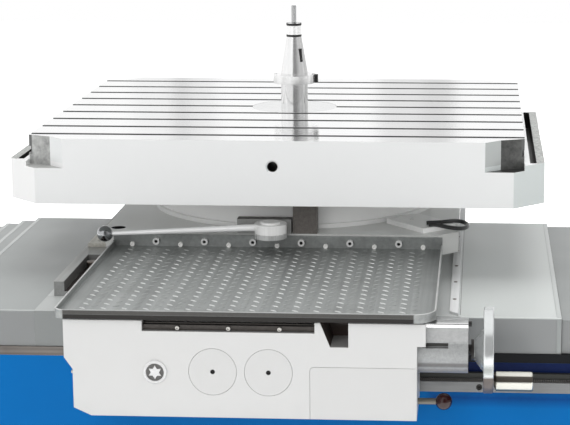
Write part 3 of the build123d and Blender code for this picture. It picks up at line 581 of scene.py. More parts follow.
class Parts:
    """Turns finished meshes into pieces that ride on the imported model's bodies."""

    made: int = 0

    @classmethod
    def publish(cls, piece: Object, body: Union[Body, str], slot: str,
                replaces: Sequence[str] = ()) -> Object:
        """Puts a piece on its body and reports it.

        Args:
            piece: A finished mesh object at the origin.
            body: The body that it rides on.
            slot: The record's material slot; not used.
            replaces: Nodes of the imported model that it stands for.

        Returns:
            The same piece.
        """
        name = body.value if isinstance(body, Body) else body
        if piece.name not in bpy.context.scene.collection.objects:
            bpy.context.scene.collection.objects.link(piece)
        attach(piece, name)
        if replaces:
            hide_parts(*replaces)
        cls.made += 1
        LOG.info("piece %s on %s: %d faces", piece.name, name, len(piece.data.polygons))
        return piece

    @staticmethod
    def dress(material: Material, *nodes: str) -> None:
        """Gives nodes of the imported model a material.

        Args:
            material: The finish.
            *nodes: The nodes' names.
        """
        for node in nodes:
            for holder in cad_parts[node].material_slots:
                holder.material = material
            LOG.info("node %s wears %s", node, material.name)


def smooth(data: bpy.types.Mesh) -> None:
    """Shades a mesh smooth and keeps its edges over 35 degrees sharp."""
    data.polygons.foreach_set("use_smooth", [True] * len(data.polygons))
    data.set_sharp_from_angle(angle=math.radians(35.0))


class Shape:
    """A mesh under construction."""

    def __init__(self) -> None:
        """Starts an empty mesh."""
        self.mesh = bmesh.new()

    def box(self, low: Point, high: Point, edge: float) -> "Shape":
        """Adds a box with rounded edges.

        Args:
            low: One corner.
            high: The opposite corner.
            edge: The radius of its edges.

        Returns:
            The shape itself.
        """
        made = bmesh.ops.create_cube(self.mesh, size=1.0)["verts"]
        size = [top - bottom for bottom, top in zip(low, high)]
        middle = Vector([(top + bottom) / 2 for bottom, top in zip(low, high)])
        bmesh.ops.scale(self.mesh, vec=size, verts=made)
        bmesh.ops.translate(self.mesh, vec=middle, verts=made)
        edges = list({line for corner in made for line in corner.link_edges})
        bmesh.ops.bevel(self.mesh, geom=edges, offset=edge, segments=2, profile=0.6, affect="EDGES")
        return self

    def slab(self, outline: Sequence[tuple[float, float]], low: float, high: float, place: Matrix,
             edge: float = 0.0) -> "Shape":
        """Adds a plate with any outline.

        Args:
            outline: Its corners in the plate's own plane, counterclockwise.
            low: The height of its back.
            high: The height of its face.
            place: A matrix from the plate's plane to the model.
            edge: The radius of its face's edge.

        Returns:
            The shape itself.
        """
        bottom = [self.mesh.verts.new(place @ Vector((x, y, low))) for x, y in outline]
        top = [self.mesh.verts.new(place @ Vector((x, y, high))) for x, y in outline]
        face = self.mesh.faces.new(top)
        self.mesh.faces.new(list(reversed(bottom)))
        count = len(outline)
        for at in range(count):
            after = (at + 1) % count
            self.mesh.faces.new((bottom[at], bottom[after], top[after], top[at]))
        if edge:
            bmesh.ops.bevel(self.mesh, geom=list(face.edges), offset=edge, segments=2, profile=0.6,
                            affect="EDGES")
        return self

    def turned(self, profile: Sequence[tuple[float, float]], place: Matrix, steps: int = 48) -> "Shape":
        """Adds a closed shape turned about its own Z axis.

        Args:
            profile: Radius and height pairs, from the bottom's middle to the top's middle.
            place: A matrix from the turned shape to the model.
            steps: The number of faces round it.

        Returns:
            The shape itself.
        """
        rings = []
        for radius, height in profile:
            if radius < 1e-6:
                rings.append([self.mesh.verts.new(place @ Vector((0, 0, height)))])
                continue
            angles = (2 * math.pi * step / steps for step in range(steps))
            rings.append([self.mesh.verts.new(place @ Vector((radius * math.cos(a), radius * math.sin(a),
                                                              height))) for a in angles])
        for lower, upper in zip(rings, rings[1:]):
            for at in range(steps):
                after = (at + 1) % steps
                corners = [lower[at % len(lower)], lower[after % len(lower)],
                           upper[after % len(upper)], upper[at % len(upper)]]
                unique = list(dict.fromkeys(corners))
                if len(unique) > 2:
                    self.mesh.faces.new(unique)
        return self

    def tube(self, path: Sequence[Vector], radius: float, steps: int = 12) -> "Shape":
        """Adds a closed tube along a path.

        Args:
            path: The middle line's points.
            radius: The tube's radius.
            steps: The number of faces round it.

        Returns:
            The shape itself.
        """
        rings = []
        side = Vector((0, 0, 1))
        for at, point in enumerate(path):
            ahead = (path[min(at + 1, len(path) - 1)] - path[max(at - 1, 0)]).normalized()
            side = (side - ahead * side.dot(ahead)).normalized()
            other = ahead.cross(side)
            rings.append([self.mesh.verts.new(point + radius * (
                math.cos(2 * math.pi * step / steps) * side + math.sin(2 * math.pi * step / steps) * other))
                for step in range(steps)])
        for first, second in zip(rings, rings[1:]):
            for at in range(steps):
                after = (at + 1) % steps
                self.mesh.faces.new((first[at], first[after], second[after], second[at]))
        self.mesh.faces.new(list(reversed(rings[0])))
        self.mesh.faces.new(rings[-1])
        return self

    def finish(self, name: str, material: Material) -> Object:
        """Closes the mesh and makes it an object.

        Args:
            name: The object's name.
            material: Its finish.

        Returns:
            The new object, not yet linked.
        """
        bmesh.ops.recalc_face_normals(self.mesh, faces=list(self.mesh.faces))
        data = bpy.data.meshes.new(name)
        self.mesh.to_mesh(data)
        self.mesh.free()
        data.materials.append(material)
        smooth(data)
        return bpy.data.objects.new(name, data)


class Repeats:
    """Geometry Nodes trees that set one small shape out many times."""

    @staticmethod
    def _start(name: str, sizes: dict[str, Value]) -> tuple[Graph, Node, Node]:
        """Starts a tree with named inputs for its sizes.

        Args:
            name: The tree's name.
            sizes: Input names and defaults; whole numbers and vectors keep their kind.

        Returns:
            The graph, its input node and its output node.
        """
        tree = bpy.data.node_groups.new(name, "GeometryNodeTree")
        tree.interface.new_socket("Geometry", in_out="INPUT", socket_type="NodeSocketGeometry")
        for size_name, value in sizes.items():
            kind = {int: "NodeSocketInt", tuple: "NodeSocketVector"}.get(type(value), "NodeSocketFloat")
            tree.interface.new_socket(size_name, in_out="INPUT", socket_type=kind).default_value = value
        tree.interface.new_socket("Geometry", in_out="OUTPUT", socket_type="NodeSocketGeometry")
        graph = Graph(tree)
        return graph, graph.add("NodeGroupInput"), graph.add("NodeGroupOutput")

    @staticmethod
    def _set_out(graph: Graph, points: Socket, shape: Socket, material: Material,
                 rotation: Socket | None = None) -> Socket:
        """Sets a shape on points, makes the copies real and gives them their finish.

        Args:
            graph: The tree's graph.
            points: The points.
            shape: The shape.
            material: Its finish.
            rotation: Each copy's rotation.

        Returns:
            The real, painted mesh.
        """
        inputs = {"Points": points, "Instance": shape}
        if rotation is not None:
            inputs["Rotation"] = rotation
        copies = graph.add("GeometryNodeInstanceOnPoints", inputs).outputs[0]
        real = graph.add("GeometryNodeRealizeInstances", {0: copies}).outputs[0]
        return graph.add("GeometryNodeSetMaterial", {"Geometry": real, "Material": material}).outputs[0]

    @staticmethod
    def _apply(name: str, tree: Tree, sizes: dict[str, Value],
               points: Sequence[Point] = ()) -> Object:
        """Runs a tree on a mesh of points and keeps the plain result.

        Args:
            name: The piece's name.
            tree: The tree.
            sizes: The values of its inputs.
            points: The vertices that the tree starts from.

        Returns:
            An object with the resulting mesh, not yet linked.
        """
        seed = bpy.data.meshes.new(name + "_points")
        seed.from_pydata([tuple(point) for point in points] or [(0, 0, 0)], [], [])
        holder = bpy.data.objects.new(name + "_source", seed)
        bpy.context.scene.collection.objects.link(holder)
        modifier = holder.modifiers.new("repeat", "NODES")
        modifier.node_group = tree
        for item in tree.interface.items_tree:
            if item.in_out == "INPUT" and item.name in sizes:
                modifier[item.identifier] = sizes[item.name]
        bpy.context.view_layer.update()
        shown = holder.evaluated_get(bpy.context.evaluated_depsgraph_get())
        data = bpy.data.meshes.new_from_object(shown)
        holder.modifiers.remove(modifier)
        bpy.data.objects.remove(holder)
        bpy.data.meshes.remove(seed)
        data.name = name
        smooth(data)
        return bpy.data.objects.new(name, data)

    @classmethod
    def screws(cls, name: str, points: Sequence[Point], toward: Point, radius: float, height: float,
               material: Material, sides: int = 18, socket: float = 0.52, sunk: float = 0.7
               ) -> Object:
        """Sets socket-head screws on points, each turned its own way.

        Args:
            name: The piece's name.
            points: Where the heads stand.
            toward: The direction in which they point.
            radius: A head's radius.
            height: A head's height.
            material: Their finish.
            sides: The number of faces round a head.
            socket: The socket's share of the head's radius.
            sunk: The socket's share of the head's height.

        Returns:
            The screws as one plain mesh object.
        """
        sizes: dict[str, Value] = {"Radius": radius, "Height": height, "Toward": tuple(toward),
                                   "Sides": sides, "Socket": socket, "Sunk": sunk}
        graph, given, output = cls._start(name + "_tree", sizes)
        out = given.outputs
        head = graph.add("GeometryNodeMeshCylinder", {
            "Vertices": out["Sides"], "Radius": out["Radius"], "Depth": out["Height"]}, fill_type="NGON")
        inset = graph.add("GeometryNodeExtrudeMesh", {
            "Mesh": head.outputs["Mesh"], "Selection": head.outputs["Top"], "Offset Scale": 0.0})
        scaled = graph.add("GeometryNodeScaleElements", {
            "Geometry": inset.outputs["Mesh"], "Selection": inset.outputs["Top"], "Scale": out["Socket"]})
        depth = graph.times(out["Height"], out["Sunk"], -1.0)
        sunken = graph.add("GeometryNodeExtrudeMesh", {
            "Mesh": scaled.outputs["Geometry"], "Selection": inset.outputs["Top"], "Offset Scale": depth})
        seat = graph.add("ShaderNodeCombineXYZ", {2: graph.times(out["Height"], 0.5)})
        stood = graph.add("GeometryNodeTransform", {"Geometry": sunken.outputs["Mesh"],
                                                    "Translation": seat.outputs[0]})
        aim = graph.add("FunctionNodeAlignRotationToVector", {"Vector": out["Toward"]}, axis="Z")
        twist = graph.add("FunctionNodeRandomValue", {"Min": 0.0, "Max": 6.28, "Seed": 7},
                          data_type="FLOAT")
        spin = graph.add("FunctionNodeAxisAngleToRotation", {
            "Axis": (0.0, 0.0, 1.0),
            "Angle": next(socket for socket in twist.outputs if socket.enabled)})
        turned = graph.add("FunctionNodeRotateRotation", {
            "Rotation": aim.outputs[0], "Rotate By": spin.outputs[0]}, rotation_space="LOCAL")
        spots = graph.add("GeometryNodeMeshToPoints", {"Mesh": out["Geometry"]}).outputs[0]
        heads = cls._set_out(graph, spots, stood.outputs[0], material, turned.outputs[0])
        graph.feed(output.inputs[0], heads)
        return cls._apply(name, graph.tree, sizes, points)

    @classmethod
    def row(cls, name: str, start: Point, step: Point, count: int, size: Point,
            material: Material) -> Object:
        """Sets small blocks out in a straight row.

        Args:
            name: The piece's name.
            start: The first block's middle.
            step: The way from one block to the next.
            count: The number of blocks.
            size: A block's length, depth and height.
            material: Their finish.

        Returns:
            The row as one plain mesh object.
        """
        sizes: dict[str, Value] = {"Start": tuple(start), "Step": tuple(step), "Count": count,
                                   "Size": tuple(size)}
        graph, given, output = cls._start(name + "_tree", sizes)
        out = given.outputs
        line = graph.add("GeometryNodeMeshLine", {"Count": out["Count"], "Start Location": out["Start"],
                                                  "Offset": out["Step"]})
        block = graph.add("GeometryNodeMeshCube", {"Size": out["Size"]})
        graph.feed(output.inputs[0], cls._set_out(graph, line.outputs[0], block.outputs[0], material))
        return cls._apply(name, graph.tree, sizes)

    @classmethod
    def tread(cls, name: str, middle: Point, field_size: tuple[float, float], pitch: tuple[float, float],
              bar: Point, lean: float, corner: tuple[Point, float],
              materials: tuple[Material, Material]) -> Object:
        """Rolls the raised bars of tread plate, leaning left and right by turns.

        Args:
            name: The piece's name.
            middle: The middle of the plate's face.
            field_size: The width and depth that the bars fill.
            pitch: The distance between like columns and between like rows.
            bar: A bar's half length, half width and half thickness.
            lean: The angle of a bar from the plate's front edge, in radians.
            corner: The middle of the plate's round corner, and its radius less a bar.
            materials: The finishes of the bars that lean left and right.

        Returns:
            The bars as one plain mesh object.
        """
        columns = int(field_size[0] / pitch[0])
        rows = int(field_size[1] / pitch[1])
        sizes: dict[str, Value] = {"Middle": tuple(middle), "Columns": columns, "Rows": rows,
                                   "Pitch X": pitch[0], "Pitch Y": pitch[1], "Bar": tuple(bar),
                                   "Lean": lean, "Corner": tuple(corner[0]), "Corner Reach": corner[1]}
        graph, given, output = cls._start(name + "_tree", sizes)
        out = given.outputs
        ball = graph.add("GeometryNodeMeshUVSphere", {"Segments": 8, "Rings": 4, "Radius": 1.0})
        lens = graph.add("GeometryNodeTransform", {"Geometry": ball.outputs[0], "Scale": out["Bar"]})
        joined = graph.add("GeometryNodeJoinGeometry")
        for turn, shift, material in ((-1.0, -0.25, materials[0]), (1.0, 0.25, materials[1])):
            grid = graph.add("GeometryNodeMeshGrid", {
                "Size X": graph.times(graph.math("SUBTRACT", out["Columns"], 1.0), out["Pitch X"]),
                "Size Y": graph.times(graph.math("SUBTRACT", out["Rows"], 1.0), out["Pitch Y"]),
                "Vertices X": out["Columns"], "Vertices Y": out["Rows"]})
            offset = graph.add("ShaderNodeCombineXYZ", {0: graph.times(out["Pitch X"], shift),
                                                        1: graph.times(out["Pitch Y"], shift)})
            place = graph.vector("ADD", offset.outputs[0], out["Middle"]).outputs[0]
            moved = graph.add("GeometryNodeTransform", {"Geometry": grid.outputs["Mesh"],
                                                        "Translation": place})
            spot = graph.add("GeometryNodeInputPosition").outputs[0]
            away = graph.vector("SUBTRACT", spot, out["Corner"]).outputs[0]
            parts = graph.parts(away)
            past_x = graph.math("GREATER_THAN", parts[0], 0.0)
            past_y = graph.math("LESS_THAN", parts[1], 0.0)
            reach = graph.vector("LENGTH", away).outputs["Value"]
            gone = graph.times(past_x, past_y, graph.math("GREATER_THAN", reach, out["Corner Reach"]))
            kept = graph.add("GeometryNodeDeleteGeometry", {"Geometry": moved.outputs[0],
                                                            "Selection": gone}, domain="POINT")
            angle = graph.add("ShaderNodeCombineXYZ", {2: graph.times(out["Lean"], turn)})
            raised = cls._set_out(graph, kept.outputs[0], lens.outputs[0], material, angle.outputs[0])
            graph.tree.links.new(raised, joined.inputs[0])
        graph.feed(output.inputs[0], joined.outputs[0])
        return cls._apply(name, graph.tree, sizes)


def facing(middle: Point, outward: Point, up: Point = (0, 0, 1)) -> Matrix:
    """Gives the matrix of a plane that looks in a direction.

    Args:
        middle: The plane's origin.
        outward: Its normal.
        up: The direction that its Y axis leans toward.

    Returns:
        A matrix whose Z axis points outward.
    """
    z_axis = Vector(outward).normalized()
    x_axis = Vector(up).cross(z_axis).normalized()
    y_axis = z_axis.cross(x_axis)
    turn = Matrix((x_axis, y_axis, z_axis)).transposed().to_4x4()
    return Matrix.Translation(middle) @ turn


@dataclass
class Bed:
    """The bed with its ways, feet, end plates and feed rack."""

    tooth_pitch: float = 0.00628
    tooth_height: float = 0.009
    tooth_depth: float = 0.006
    band_drop: float = 0.024
    hole_pitch: float = 0.308
    hole_count: int = 6
    # Its two regions are painted shade: a near-black strip above the rack and a darker blue band below it.
    blue: Enamel = Enamel(
        "bed_blue", "046fba", 0.45, primer="3b4a58", coat=0.0, shine=0.12, wear=0.1, grime_high=0.35,
        grime=0.05,
        regions=(Region((-0.15, -0.68, 0.5605), (1.52, -0.60, 0.5895), "0d1c45", 0.45, soft=0.001),
                 Region((0.12, -0.68, 0.455), (1.56, -0.60, 0.512), "08488c", 0.45, soft=0.03)))
    cover_grey: Enamel = Enamel("end_plate_grey", "a2a6a5", 0.45, grime_high=0.4, grime=0.3)
    way: GroundMetal = GroundMetal("ground_ways", "b4b4b1", 0.24, lay=Lay.ALONG_X, staining=0.3)
    # Its region paints the ledge near black right of the apron: painted shade under the covers.
    ledge: GroundMetal = GroundMetal(
        "milled_ledge", "7f7974", 0.45, lay=Lay.ALONG_X, line_scale=2.5, contrast=0.5, stain="4f4841",
        staining=0.6, metallic=0.7,
        regions=(Region((0.13, -0.66, 0.58), (1.52, -0.60, 0.62), "06080d", 0.85, 0.0, 0.001),))
    black: CastMetal = CastMetal("blackened_steel", "2f2d2b", 0.5)
    steel: GroundMetal = GroundMetal(
        "rack_steel", "868787", 0.42, lay=Lay.ALONG_X, contrast=0.2, staining=0.35, metallic=0.4,
        regions=(Region((-0.66, -0.67, 0.5385), (1.52, -0.644, 0.563), "21221e", 0.5, 0.1, 0.0005),))
    dark_steel: GroundMetal = GroundMetal(
        "rack_tooth_steel", "3d3935", 0.5, lay=Lay.ALONG_Z, contrast=0.3, metallic=0.2)

    def build(self) -> None:
        """Adds the rack's teeth and the bed's screws and nuts."""
        low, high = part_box("feed_rack")
        count = int((high.x - low.x - 0.02) / self.tooth_pitch)
        start = (low.x + 0.01, low.y + 0.008 - self.tooth_depth / 2,
                 high.z - self.band_drop + self.tooth_height / 2)
        teeth = Repeats.row("rack_teeth", start, (self.tooth_pitch, 0.0, 0.0), count,
                            (self.tooth_pitch * 0.52, self.tooth_depth, self.tooth_height),
                            self.dark_steel.material())
        Parts.publish(teeth, Body.BED, "ground_steel")
        black = self.black.material()
        self._rack_screws(black)
        self._end_screws(black)
        self._foot_nuts(black)
        Parts.dress(self.blue.material(), "bed_casting")
        Parts.dress(self.way.material(), "bed_way_front", "bed_way_back")
        Parts.dress(self.ledge.material(), "bed_side_strips")
        Parts.dress(self.cover_grey.material(), "bed_end_left", "bed_end_right")
        Parts.dress(black, "levelling_feet")
        Parts.dress(self.steel.material(), "feed_rack")

    def _rack_screws(self, material: Material) -> None:
        """Sets a socket screw in each of the rack's holes."""
        low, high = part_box("feed_rack")
        first = (low.x + high.x) / 2 - self.hole_pitch * (self.hole_count - 1) / 2
        holes = [(first + self.hole_pitch * at, low.y + 0.0095, low.z + 0.015)
                 for at in range(self.hole_count)]
        screws = Repeats.screws("rack_screws", holes, (0, -1, 0), 0.0078, 0.007, material)
        Parts.publish(screws, Body.BED, "dark_steel")

    def _end_screws(self, material: Material) -> None:
        """Sets the screws that hold the two end plates."""
        for side, outward in (("left", -1.0), ("right", 1.0)):
            low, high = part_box(f"bed_end_{side}")
            face = (low.x if outward < 0 else high.x) - outward * 0.006
            points = [(face, y, z) for y in (low.y + 0.035, low.y + 0.33, high.y - 0.33, high.y - 0.035)
                      for z in (low.z + 0.035, high.z - 0.10)]
            screws = Repeats.screws(f"end_plate_screws_{side}", points, (outward, 0, 0), 0.009, 0.006,
                                    material)
            Parts.publish(screws, Body.BED, "dark_steel")

    def _foot_nuts(self, material: Material) -> None:
        """Sets a hexagon nut on the pad of each outer levelling foot."""
        low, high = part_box("levelling_feet")
        foot_radius, nut_inset, columns = 0.055, 0.019, 5
        points = []
        for column in range(columns):
            x = low.x + foot_radius + (high.x - low.x - 2 * foot_radius) * column / (columns - 1)
            points.extend([(x, low.y + nut_inset, 0.012), (x, high.y - nut_inset, 0.012)])
        nuts = Repeats.screws("foot_nuts", points, (0, 0, 1), 0.011, 0.010, material, sides=6, socket=0.6)
        Parts.publish(nuts, Body.BED, "dark_steel")


@dataclass
class WayCovers:
    """The ten telescopic covers over the bed's ways, with their hems and wiper lips."""

    lip_height: float = 0.0042
    lip_width: float = 0.006
    hem_width: float = 0.013
    hem_height: float = 0.0007
    sheet: float = 0.004
    # Its thin region along the front bend is a painted highlight, and its upright colour a painted shade.
    grey: Enamel = Enamel(
        "cover_grey", "939796", 0.42, primer="c4c7c6", coat=0.2, wear=0.4, grime_high=0.66, grime=0.1,
        upright="888a8a",
        regions=(Region((-1.6, -0.6402, 0.7185), (1.6, -0.6325, 0.7204), "c2c5c3", 0.4),))
    # A lighter copy of the cover grey, with a lighter band on its bend: painted light on the first right
    # cover.
    bright: Enamel = Enamel(
        "cover_grey_painted_light", "c3c7c5", 0.42, primer="c4c7c6", coat=0.2, wear=0.4, grime_high=0.66,
        grime=0.1, upright="8c8e8e",
        regions=(Region((-1.6, -0.6402, 0.7185), (1.6, -0.6325, 0.7204), "c9ccca", 0.4),))
    # A darker copy of the cover grey: painted shade on the second right cover.
    dim: Enamel = Enamel(
        "cover_grey_painted_shade", "838786", 0.42, primer="c4c7c6", coat=0.2, wear=0.4, grime_high=0.66, grime=0.1,
        upright="888a8a")
    # The hem's grey is lighter than the sheet's, a painted highlight along the fold, and its upright colour
    # a painted shade.
    hem: Enamel = Enamel(
        "cover_hem_grey", "b6bab9", 0.38, coat=0.25, wear=0.3, grime_high=0.66, grime=0.1, upright="969a99")
    rubber: Moulded = Moulded("wiper_rubber", "4a4b4b", 0.55, coat=0.1)

    def build(self) -> None:
        """Dresses the covers, and gives each one a hem and the moving ones a wiper lip."""
        grey, hem, rubber = self.grey.material(), self.hem.material(), self.rubber.material()
        # The first right cover wears the lighter copy, painted light, and the second the darker copy,
        # painted shade.
        finish = {("right", 1): self.bright.material(), ("right", 2): self.dim.material()}
        for side, outward in (("left", -1.0), ("right", 1.0)):
            for number in range(1, 6):
                Parts.dress(finish.get((side, number), grey), f"{side}_cover_{number}")
                self._hem(side, outward, number, hem)
            for number in range(1, 5):
                self._lip(side, outward, number, rubber)

    @staticmethod
    def _body(side: str, number: int) -> str:
        """Names the body that a cover rides on."""
        fixed = {1: Body.SADDLE.value, 5: Body.BED.value}
        return fixed.get(number, f"{side}_cover_{number}")

    def _hem(self, side: str, outward: float, number: int, paint: Material) -> None:
        """Folds the thin hem round a cover's leading edge.

        Args:
            side: The side of the saddle.
            outward: The sign of X toward the bed's end.
            number: The cover's number, from the saddle.
            paint: The hem's finish.
        """
        low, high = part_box(f"{side}_cover_{number}")
        edge = low.x if outward < 0 else high.x
        near, far = sorted((edge - outward * 0.0008, edge - outward * (0.0008 + self.hem_width)))
        rise, bend = self.hem_height, 0.006
        shape = Shape()
        shape.box((near, -high.y + bend, high.z - 0.001), (far, high.y - bend, high.z + rise), 0.0003)
        for sign in (-1.0, 1.0):
            inner, outer = sorted((sign * (high.y - 0.001), sign * (high.y + rise)))
            shape.box((near, inner, low.z + 0.003), (far, outer, high.z - bend), 0.0003)
        Parts.publish(shape.finish(f"{side}_cover_hem_{number}", paint), self._body(side, number),
                      "grey_paint")

    def _lip(self, side: str, outward: float, number: int, rubber: Material) -> None:
        """Makes one lip, which bridges the gap between a cover and the next one under it.

        Args:
            side: The side of the saddle.
            outward: The sign of X toward the bed's end.
            number: The cover's number, from the saddle.
            rubber: The lip's finish.
        """
        low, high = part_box(f"{side}_cover_{number}")
        edge = low.x if outward < 0 else high.x
        top, half, depth = high.z - self.sheet, high.y - self.sheet, self.lip_height
        near, far = sorted((edge + outward * 0.0012, edge - outward * (0.001 + self.lip_width)))
        shape = Shape()
        shape.box((near, -half + 0.004, top - depth), (far, half - 0.004, top + 0.0015), 0.0008)
        for sign in (-1.0, 1.0):
            inner, outer = sorted((sign * (half + 0.0015), sign * (half - depth)))
            shape.box((near, inner, low.z + 0.004), (far, outer, top - 0.002), 0.0008)
        Parts.publish(shape.finish(f"{side}_wiper_lip_{number}", rubber), self._body(side, number),
                      "dark_steel")


@dataclass
class Saddle:
    """The saddle, its cross ways and the fittings on its top."""

    strip_slant: float = 0.028
    screw_pitch: float = 0.21
    screw_count: int = 5
    # Its first region is a dark seam line; the second, a darker patch in front of the left way, is painted
    # shade; the third, a bright line along the front bend, is a painted highlight. Its upright colour is a
    # painted shade.
    grey: Enamel = Enamel(
        "saddle_grey", "c2c5c4", 0.42, primer="d4d6d5", coat=0.2, wear=0.12, grime_high=0.66, grime=0.1,
        upright="858887",
        regions=(Region((0.2185, -0.62, 0.7185), (0.2208, 0.54, 0.7204), "4b4c4b", 0.6, soft=0.0003),
                 Region((-1.001, -0.6395, 0.7185), (-0.70, -0.4675, 0.7204), "8f918f"),
                 Region((-1.001, -0.6402, 0.7185), (0.221, -0.6325, 0.7204), "c2c5c3")))
    # Its regions are painted shade: a darker front end and a dark brown pocket.
    way: GroundMetal = GroundMetal(
        "cross_way_iron", "a4a5a3", 0.36, lay=Lay.ALONG_Y, contrast=0.12, staining=0.06, metallic=0.3,
        regions=(Region((-0.99, -0.4695, 0.71), (0.16, -0.4665, 0.7635), "858685", 0.5),
                 Region((-0.9495, -0.4695, 0.734), (-0.8725, -0.1175, 0.7662), "2b2523", 0.7)))
    strip: GroundMetal = GroundMetal(
        "wiper_strip_alloy", "e9eaea", 0.45, lay=Lay.ALONG_Y, contrast=0.1, staining=0.05, metallic=0.15)
    bolt: GroundMetal = GroundMetal("stop_bolt_steel", "8b8078", 0.35, lay=Lay.TURNED)

    def build(self) -> None:
        """Replaces the wiper strip with its slant-ended bar and dresses the saddle."""
        low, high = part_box("right_wiper_strip")
        outline = [(low.x + 0.002, low.y + self.strip_slant), (high.x - 0.006, low.y),
                   (high.x - 0.006, high.y), (low.x + 0.002, high.y - self.strip_slant)]
        strip = Shape().slab(outline, low.z, high.z, Matrix.Identity(4), 0.0015)
        Parts.publish(strip.finish("right_wiper_bar", self.strip.material()), Body.SADDLE, "aluminium",
                      ["right_wiper_strip"])
        bolt = self.bolt.material()
        points = [((low.x + high.x) / 2 - 0.002, low.y + 0.16 + self.screw_pitch * at, high.z - 0.0005)
                  for at in range(self.screw_count)]
        screws = Repeats.screws("wiper_bar_screws", points, (0, 0, 1), 0.0055, 0.002, bolt)
        Parts.publish(screws, Body.SADDLE, "ground_steel")
        Parts.dress(self.grey.material(), "saddle_casting")
        Parts.dress(self.way.material(), "cross_way_left", "cross_way_right")
        Parts.dress(bolt, "stop_bolt")


